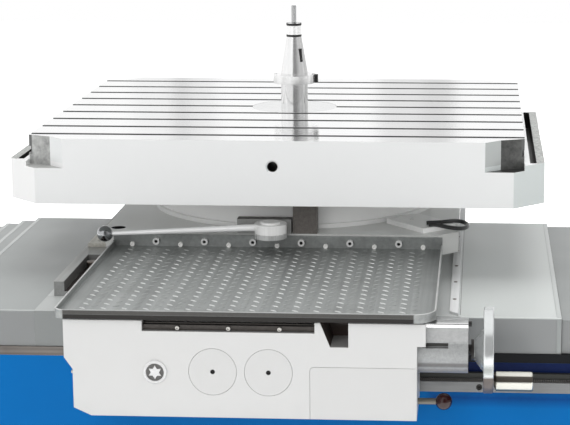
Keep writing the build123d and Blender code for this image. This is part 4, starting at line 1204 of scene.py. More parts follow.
@dataclass
class Apron:
    """The saddle's apron with its pockets, covers, sight glass and screws."""

    star_points: int = 6
    star_out: float = 0.0205
    star_in: float = 0.0105
    head_pitch: float = 0.139
    # Its regions are painted shade: the recess above the strip and the notch pocket dark brown, and two
    # hole floors near black.
    white: Enamel = Enamel(
        "apron_white", "d9d9d8", 0.4, primer="9c9c9a", coat=0.3, wear=0.08, peel=180.0, tone=0.02,
        grime_low=0.49, grime_high=0.56, grime=0.08,
        regions=(Region((-0.6385, -0.919, 0.7415), (-0.1685, -0.86, 0.772), "3a322f", 0.75),
                 Region((-0.1545, -0.9185, 0.7035), (-0.0775, -0.70, 0.772), "3a2f2b", 0.8),
                 Region((-0.4555, -0.915, 0.6215), (-0.4385, -0.90, 0.6385), "0b0a0a", 0.8),
                 Region((-0.3035, -0.915, 0.6215), (-0.2865, -0.90, 0.6385), "0b0a0a", 0.8)))
    # Its two regions paint the holes near black: painted shade.
    cover: Enamel = Enamel(
        "apron_cover_white", "d6d6d5", 0.4, primer="9c9c9a", coat=0.3, wear=0.06, peel=180.0, tone=0.02,
        grime_low=0.49, grime_high=0.56, grime=0.08,
        regions=(Region((-0.4545, -0.9195, 0.6225), (-0.4395, -0.91, 0.6375), "0b0a0a", 0.8),
                 Region((-0.3025, -0.9195, 0.6225), (-0.2875, -0.91, 0.6375), "0b0a0a", 0.8)))
    dark: CastMetal = CastMetal("apron_strip_iron", "4d4946", 0.42, metallic=0.5)
    bright: GroundMetal = GroundMetal("screw_steel", "c9c7c2", 0.3, lay=Lay.TURNED)
    brass: GroundMetal = GroundMetal("plug_brass", "c9b98a", 0.32, lay=Lay.TURNED)
    ring: Moulded = Moulded("sight_ring", "f0f0f0", 0.25)
    oil: Moulded = Moulded("sight_oil", "3a3835", 0.12, coat=1.0)

    def build(self) -> None:
        """Adds the apron's small fittings and dresses its nodes."""
        ring, bright = self.ring.material(), self.bright.material()
        low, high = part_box("sight_glass")
        middle = ((low.x + high.x) / 2, low.y, (low.z + high.z) / 2)
        self._sight(facing(middle, (0, -1, 0)), high.x - low.x, ring, self.oil.material())
        low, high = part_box("apron_top_strip")
        centre = (low + high) / 2
        heads = [(centre.x + (at - 1) * self.head_pitch, -0.9095, centre.z) for at in range(3)]
        screws = Repeats.screws("recess_screws", heads, (0, -1, 0), 0.0058, 0.004, bright)
        Parts.publish(screws, Body.SADDLE, "ground_steel")
        self._ridges(low, high)
        self._side_plug(bright)
        Parts.dress(self.white.material(), "apron_casting")
        Parts.dress(self.cover.material(), "apron_gear_cover", "round_cover_left", "round_cover_right")
        Parts.dress(ring, "sight_glass")

    def _sight(self, plane: Matrix, width: float, ring: Material, oil: Material) -> None:
        """Makes the sight glass's ring, its dark oil and the star behind it.

        Args:
            plane: The plane of the ring's front, looking outward.
            width: The ring's outer diameter.
            ring: The finish of ring and star.
            oil: The finish of the oil.
        """
        outer, inner = width / 2, width / 2 - 0.008
        profile = [(inner, -0.009), (outer, -0.009), (outer, -0.003), (outer - 0.003, 0.0),
                   (inner + 0.002, 0.0), (inner, -0.002), (inner, -0.009)]
        bezel = Shape().turned(profile, plane)
        Parts.publish(bezel.finish("sight_bezel", ring), Body.SADDLE, "sight_white", ["sight_glass"])
        disc = Shape().turned([(0.0, -0.012), (inner + 0.0005, -0.012), (inner + 0.0005, -0.006),
                               (0.0, -0.006)], plane)
        Parts.publish(disc.finish("sight_oil_disc", oil), Body.SADDLE, "dark_steel")
        outline = []
        for at in range(2 * self.star_points):
            reach = self.star_out if at % 2 == 0 else self.star_in
            angle = math.pi / 2 + math.pi * at / self.star_points
            outline.append((reach * math.cos(angle), reach * math.sin(angle)))
        star = Shape().slab(outline, -0.006, -0.003, plane, 0.0008)
        Parts.publish(star.finish("sight_star", ring), Body.SADDLE, "sight_white")

    def _ridges(self, low: Vector, high: Vector) -> None:
        """Lays the two dark guide bars that show in the recess above the strip.

        Args:
            low: The strip's lowest corner.
            high: The strip's highest corner.
        """
        shape, dark, tall = Shape(), self.dark.material(), 0.004
        for bottom, front in ((high.z + 0.001, -0.899), (high.z + 0.007, -0.893)):
            shape.box((low.x, front, bottom), (high.x, front + 0.012, bottom + tall), 0.001)
        Parts.publish(shape.finish("recess_guide_bars", dark), Body.SADDLE, "dark_steel")
        Parts.dress(dark, "apron_top_strip")

    def _side_plug(self, bright: Material) -> None:
        """Sets the small brass plug and the dark screw under the apron's left shoulder."""
        low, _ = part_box("apron_casting")
        shoulder = low.z + 0.149
        place = facing((low.x + 0.011, -0.895, shoulder), (0, 0, -1), (0, 1, 0))
        plug = Shape().turned([(0.0, -0.001), (0.006, -0.001), (0.0065, 0.001), (0.0065, 0.006),
                               (0.004, 0.008), (0.0, 0.008)], place, 20)
        Parts.publish(plug.finish("shoulder_plug", self.brass.material()), Body.SADDLE, "ground_steel")
        screws = Repeats.screws("shoulder_screws", [(low.x + 0.0225, -0.905, shoulder - 0.030),
                                                    (low.x + 0.0225, -0.87, shoulder - 0.030)],
                                (-1, 0, 0), 0.0042, 0.006, bright)
        Parts.publish(screws, Body.SADDLE, "ground_steel")


@dataclass
class Handwheel:
    """The handwheel, its housing and the pull rod, right of the apron."""

    # Its regions paint light and shade: a band at the top, a dark band across the barrel's middle and a
    # mid-grey band below it, and the slot's inside dark.
    cast: CastMetal = CastMetal(
        "cast_aluminium", "acaeae", 0.42, grit=330.0, contrast=0.28, metallic=0.3,
        regions=(Region((0.10, -0.9, 0.7115), (0.25, -0.75, 0.754), "abacac", 0.42, 0.2, 0.004),
                 Region((0.10, -0.9, 0.6385), (0.25, -0.75, 0.6575), "767575", 0.5, 0.2, 0.006),
                 Region((0.10, -0.9, 0.6100), (0.25, -0.75, 0.6385), "989797", 0.5, 0.2, 0.006),
                 Region((0.12, -0.9, 0.6965), (0.1905, -0.85, 0.7095), "4f4f4d", 0.7)))
    bar: GroundMetal = GroundMetal(
        "bar_chrome", "f4f4f4", 0.12, lay=Lay.ALONG_X, contrast=0.05,
        regions=(Region((0.2435, -0.9, 0.7), (0.26, -0.8, 0.8), "1c1b1b", 0.4),))
    # Its first region darkens the hub beside the housing near black; the other two are painted reflections,
    # a light band and a brown band across the wheel's lower half.
    chrome: GroundMetal = GroundMetal(
        "wheel_chrome", "dfe2e2", 0.2, lay=Lay.TURNED, contrast=0.08, staining=0.05, metallic=0.7,
        regions=(Region((0.20, -1.0, 0.5), (0.2610, -0.6, 0.85), "2b2927", 0.5, 0.2, 0.001),
                 Region((0.27, -1.0, 0.632), (0.32, -0.6, 0.672), "b2b6b4", 0.3, 0.3, 0.014),
                 Region((0.27, -1.0, 0.555), (0.32, -0.6, 0.634), "6c645f", 0.4, 0.2, 0.008)))
    # Its two regions are painted reflections: a dark band along the handle's middle and another near its
    # lower edge.
    handle: GroundMetal = GroundMetal(
        "handle_chrome", "deddd4", 0.14, lay=Lay.ALONG_X, contrast=0.08, staining=0.05, metallic=0.6,
        regions=(Region((0.30, -0.95, 0.5935), (0.45, -0.7, 0.6095), "46413b", 0.3, 0.2, 0.0015),
                 Region((0.30, -0.95, 0.560), (0.45, -0.7, 0.5730), "5a6462", 0.3, 0.2, 0.0015)))
    rod: GroundMetal = GroundMetal("pull_rod_steel", "7f7b72", 0.35, lay=Lay.ALONG_X, metallic=0.6)
    red: Moulded = Moulded("knob_red", "2c0605", 0.22, coat=0.25)

    def build(self) -> None:
        """Dresses the nodes."""
        Parts.dress(self.cast.material(), "handwheel_housing")
        Parts.dress(self.bar.material(), "housing_top_bar")
        Parts.dress(self.chrome.material(), "handwheel")
        Parts.dress(self.handle.material(), "handwheel_handle")
        Parts.dress(self.rod.material(), "pull_rod")
        Parts.dress(self.red.material(), "pull_knob")


@dataclass
class CrossSlide:
    """The cross slide with the turntable's base, the tread-plate tray and the clamp lever's bracket."""

    bar_pitch: tuple[float, float] = (0.0585, 0.048)
    bar_size: Point = (0.0125, 0.0032, 0.0022)
    bar_lean: float = math.radians(38)
    tray_floor: float = 0.787
    tray_inset: float = 0.022
    tray_corner: float = 0.062
    nub_pitch: float = 0.152
    nub_count: int = 7
    pipe_radius: float = 0.0065
    # Its upright colour is a painted shade, and its region paints a hole near black, a painted shade.
    slide: Enamel = Enamel(
        "slide_grey", "e6e7e5", 0.42, primer="8b8d8b", coat=0.25, wear=0.2, tone=0.04, upright="bcbdbb",
        grime_low=0.74, grime_high=0.79, grime=0.3,
        regions=(Region((-0.896, -0.037, 0.80), (-0.848, 0.011, 0.8296), "0e0e0e", 0.5),))
    base: Enamel = Enamel(
        "base_white", "f8f8f7", 0.3, primer="a9aaa8", coat=0.4, wear=0.1, tone=0.02, grime_low=0.83,
        grime_high=0.85, grime=0.2)
    # Its regions lighten the rim's top edge, lay two light streaks on the floor that are painted
    # reflections, and darken the front lip's face, near black on its lower part.
    tread: GroundMetal = GroundMetal(
        "tread_plate", "b0b3b2", 0.4, lay=Lay.ALONG_Y, line_scale=1.2, contrast=0.35, stain="6a6a67",
        staining=0.35, metallic=0.7, edge_radius=0.0015,
        regions=(Region((-0.90, -0.9446, 0.8035), (0.17, -0.10, 0.8054), "c9cac9", 0.3, 0.5, 0.0003),
                 Region((-0.56, -0.70, 0.7865), (-0.545, -0.16, 0.7875), "c6c8c7", 0.35, 0.5, 0.026),
                 Region((-0.36, -0.74, 0.7865), (-0.35, -0.34, 0.7875), "cbcdcc", 0.35, 0.5, 0.022),
                 Region((-0.90, -0.947, 0.7925), (0.17, -0.9446, 0.8036), "484745", 0.4, 0.2, 0.0003),
                 Region((-0.90, -0.947, 0.778), (0.17, -0.9446, 0.7925), "15120f", 0.6, 0.0, 0.0003)))
    # Bars that lean one way wear this lighter copy, a painted highlight; the others wear the darker copy
    # below, painted shade.
    bars: GroundMetal = GroundMetal(
        "tread_bars", "dcdedd", 0.3, lay=Lay.ALONG_Y, contrast=0.15, metallic=0.7, edge_radius=0.0006)
    shaded_bars: GroundMetal = GroundMetal(
        "tread_bars_painted_shade", "a9acab", 0.36, lay=Lay.ALONG_Y, contrast=0.2, metallic=0.7, edge_radius=0.0006)
    # Its region paints the bolts' sockets near black: painted shade.
    bolt: GroundMetal = GroundMetal(
        "bolt_steel", "eeeeed", 0.3, lay=Lay.TURNED, metallic=0.3,
        regions=(Region((-0.76, -0.0932, 0.7985), (0.04, -0.08, 0.8095), "171615", 0.6),))
    # Its two regions paint the screw holes dark: painted shade.
    wiper: GroundMetal = GroundMetal(
        "side_wiper_alloy", "d8d5cc", 0.4, lay=Lay.ALONG_Y, contrast=0.3, metallic=0.7,
        regions=(Region((-0.952, 0.016, 0.760), (-0.934, 0.029, 0.7770), "37322d", 0.6),
                 Region((-0.952, 0.091, 0.760), (-0.934, 0.104, 0.7770), "37322d", 0.6)))
    dark: CastMetal = CastMetal("pin_housing_iron", "75706c", 0.5, metallic=0.2)
    # Its region darkens the bracket's neck under the table: painted shade.
    bracket: GroundMetal = GroundMetal(
        "bracket_steel", "dcdddc", 0.3, lay=Lay.ALONG_Z, metallic=0.6,
        regions=(Region((-0.49, -0.0755, 0.82), (-0.31, -0.03, 0.88), "5b5855", 0.5, 0.2),))
    nub: GroundMetal = GroundMetal("nub_steel", "f4f4f1", 0.3, lay=Lay.TURNED, contrast=0.1, metallic=0.1)
    hose: Moulded = Moulded("oil_pipe_black", "2c2d2d", 0.35, coat=0.3)

    def build(self) -> None:
        """Adds the tread bars, the flange's nubs, the oil pipe and the screws, and dresses the nodes."""
        bolt = self.bolt.material()
        self._tread_bars(self.bars.material(), self.shaded_bars.material())
        self._flange_nubs(self.nub.material())
        self._pipe()
        self._pad_screws(bolt)
        Parts.dress(self.slide.material(), "cross_slide_casting")
        Parts.dress(self.base.material(), "turntable_base", "corner_pad_front", "corner_pad_back")
        Parts.dress(self.tread.material(), "tread_tray")
        Parts.dress(bolt, "tray_bolts")
        Parts.dress(self.wiper.material(), "side_wiper")
        Parts.dress(self.dark.material(), "index_pin_housing")
        Parts.dress(self.bracket.material(), "lever_bracket")

    def _tread_bars(self, bright: Material, painted_dark: Material) -> None:
        """Raises the bars on the tray's floor; those that lean one way get a lighter copy of the finish, a
        painted highlight, and the others a darker copy, painted shade.
        """
        low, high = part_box("tread_tray")
        inset, round_in = self.tray_inset, self.tray_corner
        size = (high.x - low.x - 2 * inset, high.y - low.y - 2 * inset)
        middle = ((low.x + high.x) / 2, low.y + inset + size[1] / 2, self.tray_floor)
        corner = ((high.x - round_in, low.y + round_in, self.tray_floor), 0.040)
        bars = Repeats.tread("tread_bars", middle, size, self.bar_pitch, self.bar_size, self.bar_lean,
                             corner, (bright, painted_dark))
        Parts.publish(bars, Body.CROSS_SLIDE, "tread_steel")

    def _flange_nubs(self, material: Material) -> None:
        """Sets the bright stubs that show between the tray's bolts."""
        low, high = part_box("tray_bolts")
        start = low.x + 0.011 - self.nub_pitch / 2
        points = [(start + self.nub_pitch * at, high.y, 0.7935) for at in range(self.nub_count)]
        nubs = Repeats.screws("flange_nubs", points, (0, -1, 0), 0.0075, 0.009, material, sides=12,
                              socket=0.4, sunk=0.3)
        Parts.publish(nubs, Body.CROSS_SLIDE, "ground_steel")

    def _pipe(self) -> None:
        """Bends the black oil pipe that loops over the slide's front right corner."""
        _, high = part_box("cross_slide_casting")
        top = high.z + self.pipe_radius
        knots = [(0.105, 0.005, top + 0.016), (0.130, 0.002, top + 0.018), (0.158, 0.010, top + 0.018),
                 (0.182, 0.040, top + 0.016), (0.212, 0.080, top + 0.008), (0.238, 0.045, top + 0.004),
                 (0.228, -0.018, top + 0.004), (0.198, -0.046, top + 0.010), (0.160, -0.046, top + 0.015),
                 (0.132, -0.018, top + 0.017), (0.112, -0.022, top + 0.016)]
        curve = bpy.data.curves.new("oil_pipe_line", "CURVE")
        curve.dimensions = "3D"
        curve.resolution_u = 6
        line = curve.splines.new("NURBS")
        line.points.add(len(knots) - 1)
        for point, knot in zip(line.points, knots):
            point.co = (*knot, 1.0)
        line.order_u = 4
        line.use_endpoint_u = True
        holder = bpy.data.objects.new("oil_pipe_line", curve)
        bpy.context.scene.collection.objects.link(holder)
        bpy.context.view_layer.update()
        wire = bpy.data.meshes.new_from_object(holder)
        path = [point.co.copy() for point in wire.vertices]
        bpy.data.objects.remove(holder)
        bpy.data.meshes.remove(wire)
        pipe = Shape().tube(path, self.pipe_radius)
        Parts.publish(pipe.finish("oil_pipe", self.hose.material()), Body.CROSS_SLIDE, "dark_steel")

    def _pad_screws(self, material: Material) -> None:
        """Screws the two corner pads down."""
        for node in ("corner_pad_front", "corner_pad_back"):
            low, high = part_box(node)
            middle = (low + high) / 2
            points = [(middle.x + x, middle.y + y, high.z - 0.001)
                      for x, y in ((-0.028, 0.02), (0.03, -0.02))]
            screws = Repeats.screws(node + "_screws", points, (0, 0, 1), 0.0075, 0.003, material)
            Parts.publish(screws, Body.CROSS_SLIDE, "ground_steel")


@dataclass
class ClampLever:
    """The lever that clamps the table."""

    hub: GroundMetal = GroundMetal(
        "hub_chrome", "fbfbfa", 0.2, lay=Lay.ALONG_Z, contrast=0.1, staining=0.02, metallic=0.2)
    rod: GroundMetal = GroundMetal(
        "rod_chrome", "fbfbfb", 0.2, lay=Lay.ALONG_X, contrast=0.08, staining=0.02, metallic=0.15)
    ball: GroundMetal = GroundMetal(
        "ball_chrome", "b2b4b6", 0.12, lay=Lay.TURNED, contrast=0.08, staining=0.05)

    def build(self) -> None:
        """Dresses the lever's nodes."""
        Parts.dress(self.hub.material(), "clamp_hub")
        Parts.dress(self.rod.material(), "clamp_rod")
        Parts.dress(self.ball.material(), "clamp_ball")


@dataclass
class RotaryTable:
    """The rotary table with its slots, gutters, centre ring and arbor."""

    middle_x: float = -0.355
    middle_y: float = 0.465
    top: float = 1.150
    half_length: float = 0.760
    half_depth: float = 0.700
    slot_pitch: float = 0.150
    slot_reach: float = 0.0245
    slot_depth: float = 0.0595
    rim_drop: float = 0.0752
    gutter_near: float = 0.0165
    gutter_far: float = 0.0374
    notch_length: float = 0.121
    notch_depth: float = 0.0805
    notch_drop: float = 0.0906
    skin: float = 0.0004
    slot_key_width: float = 0.0116
    slot_key_middle: float = 1.326
    slot_key_height: float = 0.043
    slot_key_turn: float = 45.0
    paint: Enamel = Enamel(
        "table_paint", "e9eaea", 0.36, primer="9a9c9b", coat=0.35, wear=0.08, tone=0.015, grime_low=0.95,
        grime_high=0.99, grime=0.05)
    arbor: GroundMetal = GroundMetal(
        "arbor_steel", "fbfbfb", 0.16, lay=Lay.ALONG_Z, contrast=0.12, staining=0.05, metallic=0.85)
    stud: GroundMetal = GroundMetal("stud_steel", "c2c3c4", 0.2, lay=Lay.ALONG_Z)
    ring: GroundMetal = GroundMetal(
        "ring_steel", "e9eaea", 0.16, lay=Lay.TURNED, contrast=0.06, staining=0.02)
    black: Moulded = Moulded("seal_black", "161616", 0.4, coat=0.1)

    def build(self) -> None:
        """Adds the arbor's seals and keys and dresses the nodes."""
        self._arbor_seals(self.black.material())
        Parts.dress(self._table_material(), "table_casting")
        Parts.dress(self.arbor.material(), "arbor")
        Parts.dress(self.stud.material(), "pull_stud")
        Parts.dress(self.ring.material(), "centre_ring")

    def _arbor_seals(self, black: Material) -> None:
        """Puts two black rings on the collar, and black keys in the cone's slot and the flange."""
        _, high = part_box("arbor")
        for name, bottom in (("lower", high.z - 0.0450), ("upper", high.z - 0.0075)):
            place = Matrix.Translation((self.middle_x, self.middle_y, bottom))
            ring = Shape().turned([(0.020, 0.0022), (0.0250, 0.0), (0.0256, 0.0012), (0.0256, 0.0068),
                                   (0.0250, 0.0080), (0.020, 0.0058), (0.020, 0.0022)], place)
            Parts.publish(ring.finish(f"arbor_seal_{name}", black), Body.ROTARY_TABLE, "dark_steel")
        upright = Matrix.Translation((self.middle_x, self.middle_y, 0.0))
        half, tall = self.slot_key_width / 2, self.slot_key_height / 2
        key = Shape().slab([(-half, -0.0335), (half, -0.0335), (half, -0.0262), (-half, -0.0262)],
                           self.slot_key_middle - tall, self.slot_key_middle + tall,
                           upright @ Matrix.Rotation(math.radians(self.slot_key_turn), 4, "Z"), 0.0008)
        Parts.publish(key.finish("arbor_slot_key", black), Body.ROTARY_TABLE, "dark_steel")
        drive = Shape().slab([(0.0592, -0.0106), (0.0795, -0.0106), (0.0795, 0.0106), (0.0592, 0.0106)],
                             self.top + 0.0825, self.top + 0.1095, upright, 0.0010)
        Parts.publish(drive.finish("arbor_drive_key", black), Body.ROTARY_TABLE, "dark_steel")

    def _mask(self, graph: Graph, low: Point, high: Point, soft: float) -> Socket:
        """Masks a box that is measured from the middle of the table's top.

        Args:
            graph: The material's graph.
            low: The box's lowest corner.
            high: Its highest corner.
            soft: The width of its soft edge.

        Returns:
            The mask.
        """
        middle = (self.middle_x, self.middle_y, self.top)
        lowest, highest = (tuple(at + by for at, by in zip(middle, corner)) for corner in (low, high))
        return graph.inside(lowest, highest, soft)

    def _table_material(self) -> Material:
        """Builds the table's finish: paint, with the ground top, slots, gutters and notches laid over it.

        Returns:
            The material.
        """
        made = self.paint.material()
        graph = Graph(made.node_tree)
        shader = next(node for node in graph.tree.nodes if node.type == "BSDF_PRINCIPLED")
        base, rough = (shader.inputs[name].links[0].from_socket for name in ("Base Color", "Roughness"))
        layers = Layers(graph, base, rough, 0.0)
        place, normal = graph.parts(graph.place()), graph.normal()
        up = graph.math("GREATER_THAN", normal["Z"], 0.7)
        self._lay_top(layers, up)
        slots = self._lay_slots(layers, place)
        self._lay_rim(layers, place, up)
        self._lay_notches(layers, normal, up, graph.math("SUBTRACT", 1.0, slots, clamp=True))
        self._lay_front(layers, place, normal)
        layers.feed(shader)
        return made

    def _lay_top(self, layers: Layers, up: Socket) -> None:
        """Lays the ground steel on the table's top.

        Args:
            layers: The finish so far.
            up: A mask of the faces that look up.
        """
        graph, length, depth = layers.graph, self.half_length + 0.001, self.half_depth + 0.001
        lines = graph.group(EFFECTS.ground_lay, Stretch=Lay.ALONG_X.value, Line_Scale=7.0, Cloud_Scale=3.0)
        above = self._mask(graph, (-length, -depth, -self.skin), (length, depth, 0.01), 0.0001)
        polished = graph.blend(graph.span(lines.outputs["Tone"], 0.35, 0.65), color("f4f5f5"),
                               color("fefefe"))
        gloss = graph.span(lines.outputs["Tone"], 0.3, 0.7, 0.105, 0.07)
        layers.over(graph.times(above, up), polished, gloss, 1.0)

    def _lay_slots(self, layers: Layers, place: Outputs) -> Value:
        """Darkens the T-slots' walls, a painted shade.

        Args:
            layers: The finish so far.
            place: The shaded point's X, Y and Z.

        Returns:
            The slots' mask.
        """
        graph, length = layers.graph, self.half_length - 0.0005
        row = graph.math("DIVIDE", graph.math("SUBTRACT", place["Y"], self.middle_y), self.slot_pitch)
        aside = graph.math("ABSOLUTE", graph.math("SUBTRACT", row, graph.math("ROUND", row)))
        near = graph.math("LESS_THAN", graph.times(aside, self.slot_pitch), self.slot_reach)
        within = self._mask(graph, (-length, -0.63, -self.slot_depth), (length, 0.63, -self.skin), 0.0001)
        slots = graph.times(near, within)
        layers.over(slots, color("5d5e5e"), 0.5, 0.3)
        return slots

    def _lay_rim(self, layers: Layers, place: Outputs, up: Socket) -> None:
        """Blackens the two gutters, a painted shade, and roughens the rim outside them.

        Args:
            layers: The finish so far.
            place: The shaded point's X, Y and Z.
            up: A mask of the faces that look up.
        """
        graph, length = layers.graph, self.half_length
        for sign in (-1.0, 1.0):
            near, far = sorted((sign * (length + self.gutter_near), sign * (length + self.gutter_far)))
            layers.over(self._mask(graph, (near, -0.6225, -0.16), (far, 0.3985, -0.0753), 0.0004),
                        color("1a1917"), 0.6)
        grit = graph.group(EFFECTS.cast_skin, Grit_Scale=420.0).outputs["Tone"]
        speckle = graph.blend(graph.span(grit, 0.4, 0.6), color("6d706d"), color("b4b6b3"))
        depth = self.half_depth
        rim = self._mask(graph, (-0.83, -depth, -0.0765), (0.83, depth, -0.0735), 0.0002)
        aside = graph.math("ABSOLUTE", graph.math("SUBTRACT", place["X"], self.middle_x))
        outside = graph.math("GREATER_THAN", aside, length + self.gutter_far)
        layers.over(graph.times(rim, outside, up), speckle, 0.6)

    def _lay_notches(self, layers: Layers, normal: Outputs, up: Socket, clear: Socket) -> None:
        """Gives the corner notches their rough faces, smooth facets and floors, light on the left and dark
        on the right: painted light and shade by side.

        Args:
            layers: The finish so far.
            normal: The face's normal as X, Y and Z.
            up: A mask of the faces that look up.
            clear: Zero in the slots and one elsewhere.
        """
        graph, length, depth = layers.graph, self.half_length, self.half_depth
        blotch = graph.group(EFFECTS.cast_skin, Grit_Scale=48.0).outputs["Tone"]
        across = graph.math("GREATER_THAN", graph.math("ABSOLUTE", normal["Y"]), 0.9)
        # The left notches take light tones and the right ones dark tones: painted light and shade.
        for side, dim, light, plain, floor in ((-1.0, "868786", "c0c1bf", "e2e4e4", "a9aaa8"),
                                               (1.0, "2b2c2b", "575856", "b2b6b5", "262625")):
            broken = graph.blend(graph.span(blotch, 0.35, 0.65), color(dim), color(light))
            facet = graph.blend(across, color(plain), broken)
            for end in (-1.0, 1.0):
                near_x, far_x = sorted((side * (length - self.notch_length), side * (length - 0.0006)))
                near_y, far_y = sorted((end * (depth - self.notch_depth), end * (depth - 0.0006)))
                notch = self._mask(graph, (near_x, near_y, -self.notch_drop), (far_x, far_y, -self.skin),
                                   0.0002)
                layers.over(graph.times(notch, clear), facet, 0.6)
                layers.over(graph.times(notch, up), color(floor), 0.5)

    def _lay_front(self, layers: Layers, place: Outputs, normal: Outputs) -> None:
        """Greys the right slanted front corner darker than the left, a painted shade, and blackens the hole
        in the front, also a painted shade.

        Args:
            layers: The finish so far.
            place: The shaded point's X, Y and Z.
            normal: The face's normal as X, Y and Z.
        """
        graph = layers.graph
        ahead = graph.math("LESS_THAN", normal["Y"], -0.5)
        below = graph.math("LESS_THAN", place["Z"], self.top - self.rim_drop)
        # The right facet takes a darker grey than the left: painted shade by side.
        for side, code in ((-1.0, "e9e9e9"), (1.0, "cdd3d2")):
            aside = graph.math("GREATER_THAN", graph.times(normal["X"], side), 0.5)
            layers.over(graph.times(aside, ahead, below), color(code), 0.36)
        front = -self.half_depth
        hole = self._mask(graph, (-0.02, front + 0.004, -0.10), (0.02, front + 0.08, -0.06), 0.0005)
        layers.over(hole, color("1a1917"), 0.6)


@dataclass(frozen=True)
class Lamp:
    """One square panel of light."""

    name: str
    place: Point
    target: Point
    size: float
    power: float

    def hang(self) -> None:
        """Hangs the panel, unseen by glossy rays."""
        lamp = bpy.data.lights.new(self.name, "AREA")
        lamp.shape = "SQUARE"
        lamp.size = self.size
        lamp.energy = self.power
        holder = bpy.data.objects.new(self.name, lamp)
        holder.location = self.place
        way = Vector(self.target) - Vector(self.place)
        holder.rotation_euler = way.to_track_quat("-Z", "Y").to_euler()
        holder.visible_glossy = False
        bpy.context.scene.collection.objects.link(holder)


@dataclass
class Studio:
    """The floor, the light and the camera."""

    world_level: float = 0.42
    eye: Point = (0.268, -5.799, 2.093)
    pitch: float = 11.75
    yaw: float = -3.68
    roll: float = -0.10
    focal_pixels: float = 1885.0
    picture_width: float = 570.0
    axis_pixel: float = 360.0
    sensor_width: float = 36.0
    floor_size: float = 14.0
    lamps: tuple[Lamp, ...] = (
        Lamp("key_panel", (-3.2, -4.6, 4.2), (-0.4, -0.2, 0.9), 3.6, 15.0),
        Lamp("fill_panel", (4.2, -5.0, 3.2), (0.0, 0.0, 0.9), 3.4, 65.0),
        Lamp("top_panel", (0.0, 0.2, 5.2), (0.0, 0.0, 0.9), 4.4, 150.0),
        Lamp("front_panel", (-1.6, -7.2, 3.3), (-0.35, 0.0, 0.85), 4.0, 195.0),
        Lamp("back_panel", (0.4, 7.0, 2.2), (0.0, 0.0, 0.8), 4.0, 150.0),
        Lamp("left_panel", (-7.0, 0.0, 1.9), (0.0, 0.0, 0.8), 3.6, 105.0),
        Lamp("right_panel", (7.0, 0.0, 1.9), (0.0, 0.0, 0.8), 3.6, 90.0))
    round_bands: tuple[tuple[float, float], ...] = (
        (-180.0, 0.85), (-165.0, 1.0), (-20.0, 1.0), (12.0, 1.0), (22.0, 0.8), (34.0, 0.5), (52.0, 0.62),
        (66.0, 0.42), (84.0, 0.66), (100.0, 0.44), (118.0, 0.55), (136.0, 0.36), (152.0, 0.42),
        (166.0, 0.7), (180.0, 0.85))
    far_bands: tuple[tuple[float, float], ...] = (
        (-20.0, 1.0), (-12.0, 1.0), (-11.8, 0.95), (-11.6, 1.0), (-10.7, 1.0), (-10.5, 0.91), (-9.4, 0.91),
        (-9.28, 0.66), (-9.0, 0.68), (-8.9, 0.84), (-8.15, 0.86), (-8.0, 1.0), (-4.5, 1.0), (-4.4, 0.94),
        (-4.3, 1.0), (-3.2, 1.0), (-3.05, 0.80), (-1.8, 0.80), (-1.68, 0.70), (-0.82, 0.72), (-0.7, 1.0),
        (0.4, 1.0), (0.5, 0.94), (0.6, 1.0), (10.0, 1.0))

    def build(self) -> None:
        """Makes everything round the object."""
        self._world()
        self._floor()
        for lamp in self.lamps:
            lamp.hang()
        self._camera()

    @staticmethod
    def _ramp(graph: Graph, factor: Value, stops: Sequence[tuple[float, float]]) -> Socket:
        """Turns a factor into grey through a list of stops.

        Args:
            graph: The world's graph.
            factor: Zero at the first stop and one at the last.
            stops: Angles in degrees and levels.

        Returns:
            The grey colour.
        """
        ramp = graph.add("ShaderNodeValToRGB", {0: factor})
        elements = ramp.color_ramp.elements
        first, last = stops[0][0], stops[-1][0]
        for at, (degrees, level) in enumerate(stops):
            position = (degrees - first) / (last - first)
            element = elements[at] if at < 2 else elements.new(position)
            element.position = position
            element.color = (level, level, level, 1.0)
        return ramp.outputs[0]

    def _world(self) -> None:
        """White behind the object, and soft panels of white and grey for metal to show."""
        world = bpy.data.worlds.new("studio_world")
        bpy.context.scene.world = world
        world.use_nodes = True
        world.node_tree.nodes.clear()
        graph = Graph(world.node_tree)
        way = graph.parts(graph.add("ShaderNodeTexCoord").outputs["Generated"])
        angle = graph.math("DEGREES", graph.math("ARCTAN2", way["X"], way["Y"]))
        low, high = self.far_bands[0][0], self.far_bands[-1][0]
        panels = graph.blend(1.0, self._ramp(graph, graph.span(angle, -180.0, 180.0), self.round_bands),
                             self._ramp(graph, graph.span(angle, low, high), self.far_bands), "MULTIPLY")
        white = (1.0, 1.0, 1.0, 1.0)
        panels = graph.blend(graph.span(way["Z"], 0.80, 0.90), panels, white)
        behind = graph.math("MAXIMUM", graph.span(angle, 138.0, 158.0), graph.span(angle, -170.0, -176.0))
        standing = graph.times(graph.span(way["Z"], -0.14, -0.08), graph.span(way["Z"], 0.84, 0.78))
        panels = graph.blend(graph.times(behind, standing), panels, (0.14, 0.14, 0.14, 1.0))
        rays = graph.add("ShaderNodeLightPath").outputs
        seen = graph.add("ShaderNodeBackground", {0: white, 1: 1.0})
        shown = graph.add("ShaderNodeBackground", {0: panels, 1: 1.0})
        light = graph.add("ShaderNodeBackground", {0: white, 1: self.world_level})
        mirror = graph.math("MAXIMUM", rays["Is Glossy Ray"], rays["Is Transmission Ray"])
        first = graph.add("ShaderNodeMixShader", {0: mirror, 1: light.outputs[0], 2: shown.outputs[0]})
        both = graph.add("ShaderNodeMixShader", {0: rays["Is Camera Ray"], 1: first.outputs[0],
                                                 2: seen.outputs[0]})
        output = graph.add("ShaderNodeOutputWorld")
        graph.feed(output.inputs[0], both.outputs[0])

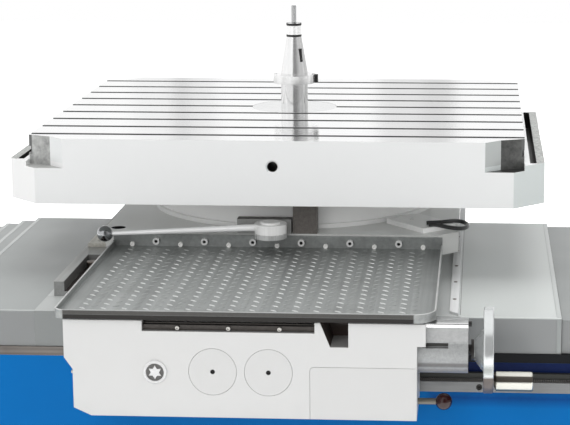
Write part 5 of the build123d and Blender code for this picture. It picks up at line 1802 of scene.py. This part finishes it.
    def _floor(self) -> None:
        """A plain pale floor that keeps the object's shadow."""
        shape = Shape()
        half = self.floor_size
        corners = [shape.mesh.verts.new((x * half, y * half, -0.0005)) for x, y in
                   ((-1, -1), (1, -1), (1, 1), (-1, 1))]
        shape.mesh.faces.new(corners)
        made = bpy.data.materials.new("studio_floor")
        made.use_nodes = True
        graph = Graph(made.node_tree)
        shader = next(node for node in graph.tree.nodes if node.type == "BSDF_PRINCIPLED")
        rays = graph.add("ShaderNodeLightPath").outputs
        seen = graph.math("MAXIMUM", rays["Is Camera Ray"], graph.math(
            "MAXIMUM", rays["Is Glossy Ray"], rays["Is Transmission Ray"]))
        shader.inputs["Base Color"].default_value = color("e4e4e3")
        shader.inputs["Roughness"].default_value = 0.9
        shader.inputs["Specular IOR Level"].default_value = 0.1
        shader.inputs["Emission Color"].default_value = (1.0, 1.0, 1.0, 1.0)
        graph.feed(shader.inputs["Emission Strength"], graph.times(seen, 0.75))
        floor = shape.finish("studio_floor", made)
        bpy.context.scene.collection.objects.link(floor)

    def _camera(self) -> None:
        """Sets the camera where the photographer stood."""
        pitch, yaw, roll = (math.radians(angle) for angle in (self.pitch, self.yaw, self.roll))
        ahead = Vector((math.sin(yaw) * math.cos(pitch), math.cos(yaw) * math.cos(pitch), -math.sin(pitch)))
        level = Vector((math.cos(yaw), -math.sin(yaw), 0.0))
        above = level.cross(ahead)
        right = math.cos(roll) * level + math.sin(roll) * above
        upward = math.cos(roll) * above - math.sin(roll) * level
        turn = Matrix((right, upward, -ahead)).transposed().to_4x4()
        data = bpy.data.cameras.new("portrait_camera")
        data.sensor_width = self.sensor_width
        data.lens = self.focal_pixels * self.sensor_width / self.picture_width
        data.shift_x = -(self.axis_pixel - self.picture_width / 2) / self.picture_width
        data.clip_end = 60.0
        camera = bpy.data.objects.new("portrait_camera", data)
        camera.matrix_world = Matrix.Translation(self.eye) @ turn
        bpy.context.scene.collection.objects.link(camera)
        bpy.context.scene.camera = camera


def main() -> None:
    """Builds the sub-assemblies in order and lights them."""
    logging.basicConfig(level=logging.INFO, format="%(name)s: %(message)s")
    bpy.context.scene.view_settings.view_transform = "Standard"
    for assembly in (Bed(), WayCovers(), Saddle(), Apron(), Handwheel(), CrossSlide(), ClampLever(),
                     RotaryTable()):
        LOG.info("building %s", type(assembly).__name__)
        assembly.build()
    Studio().build()
    LOG.info("%d pieces added", Parts.made)


if __name__ == "__main__":
    main()
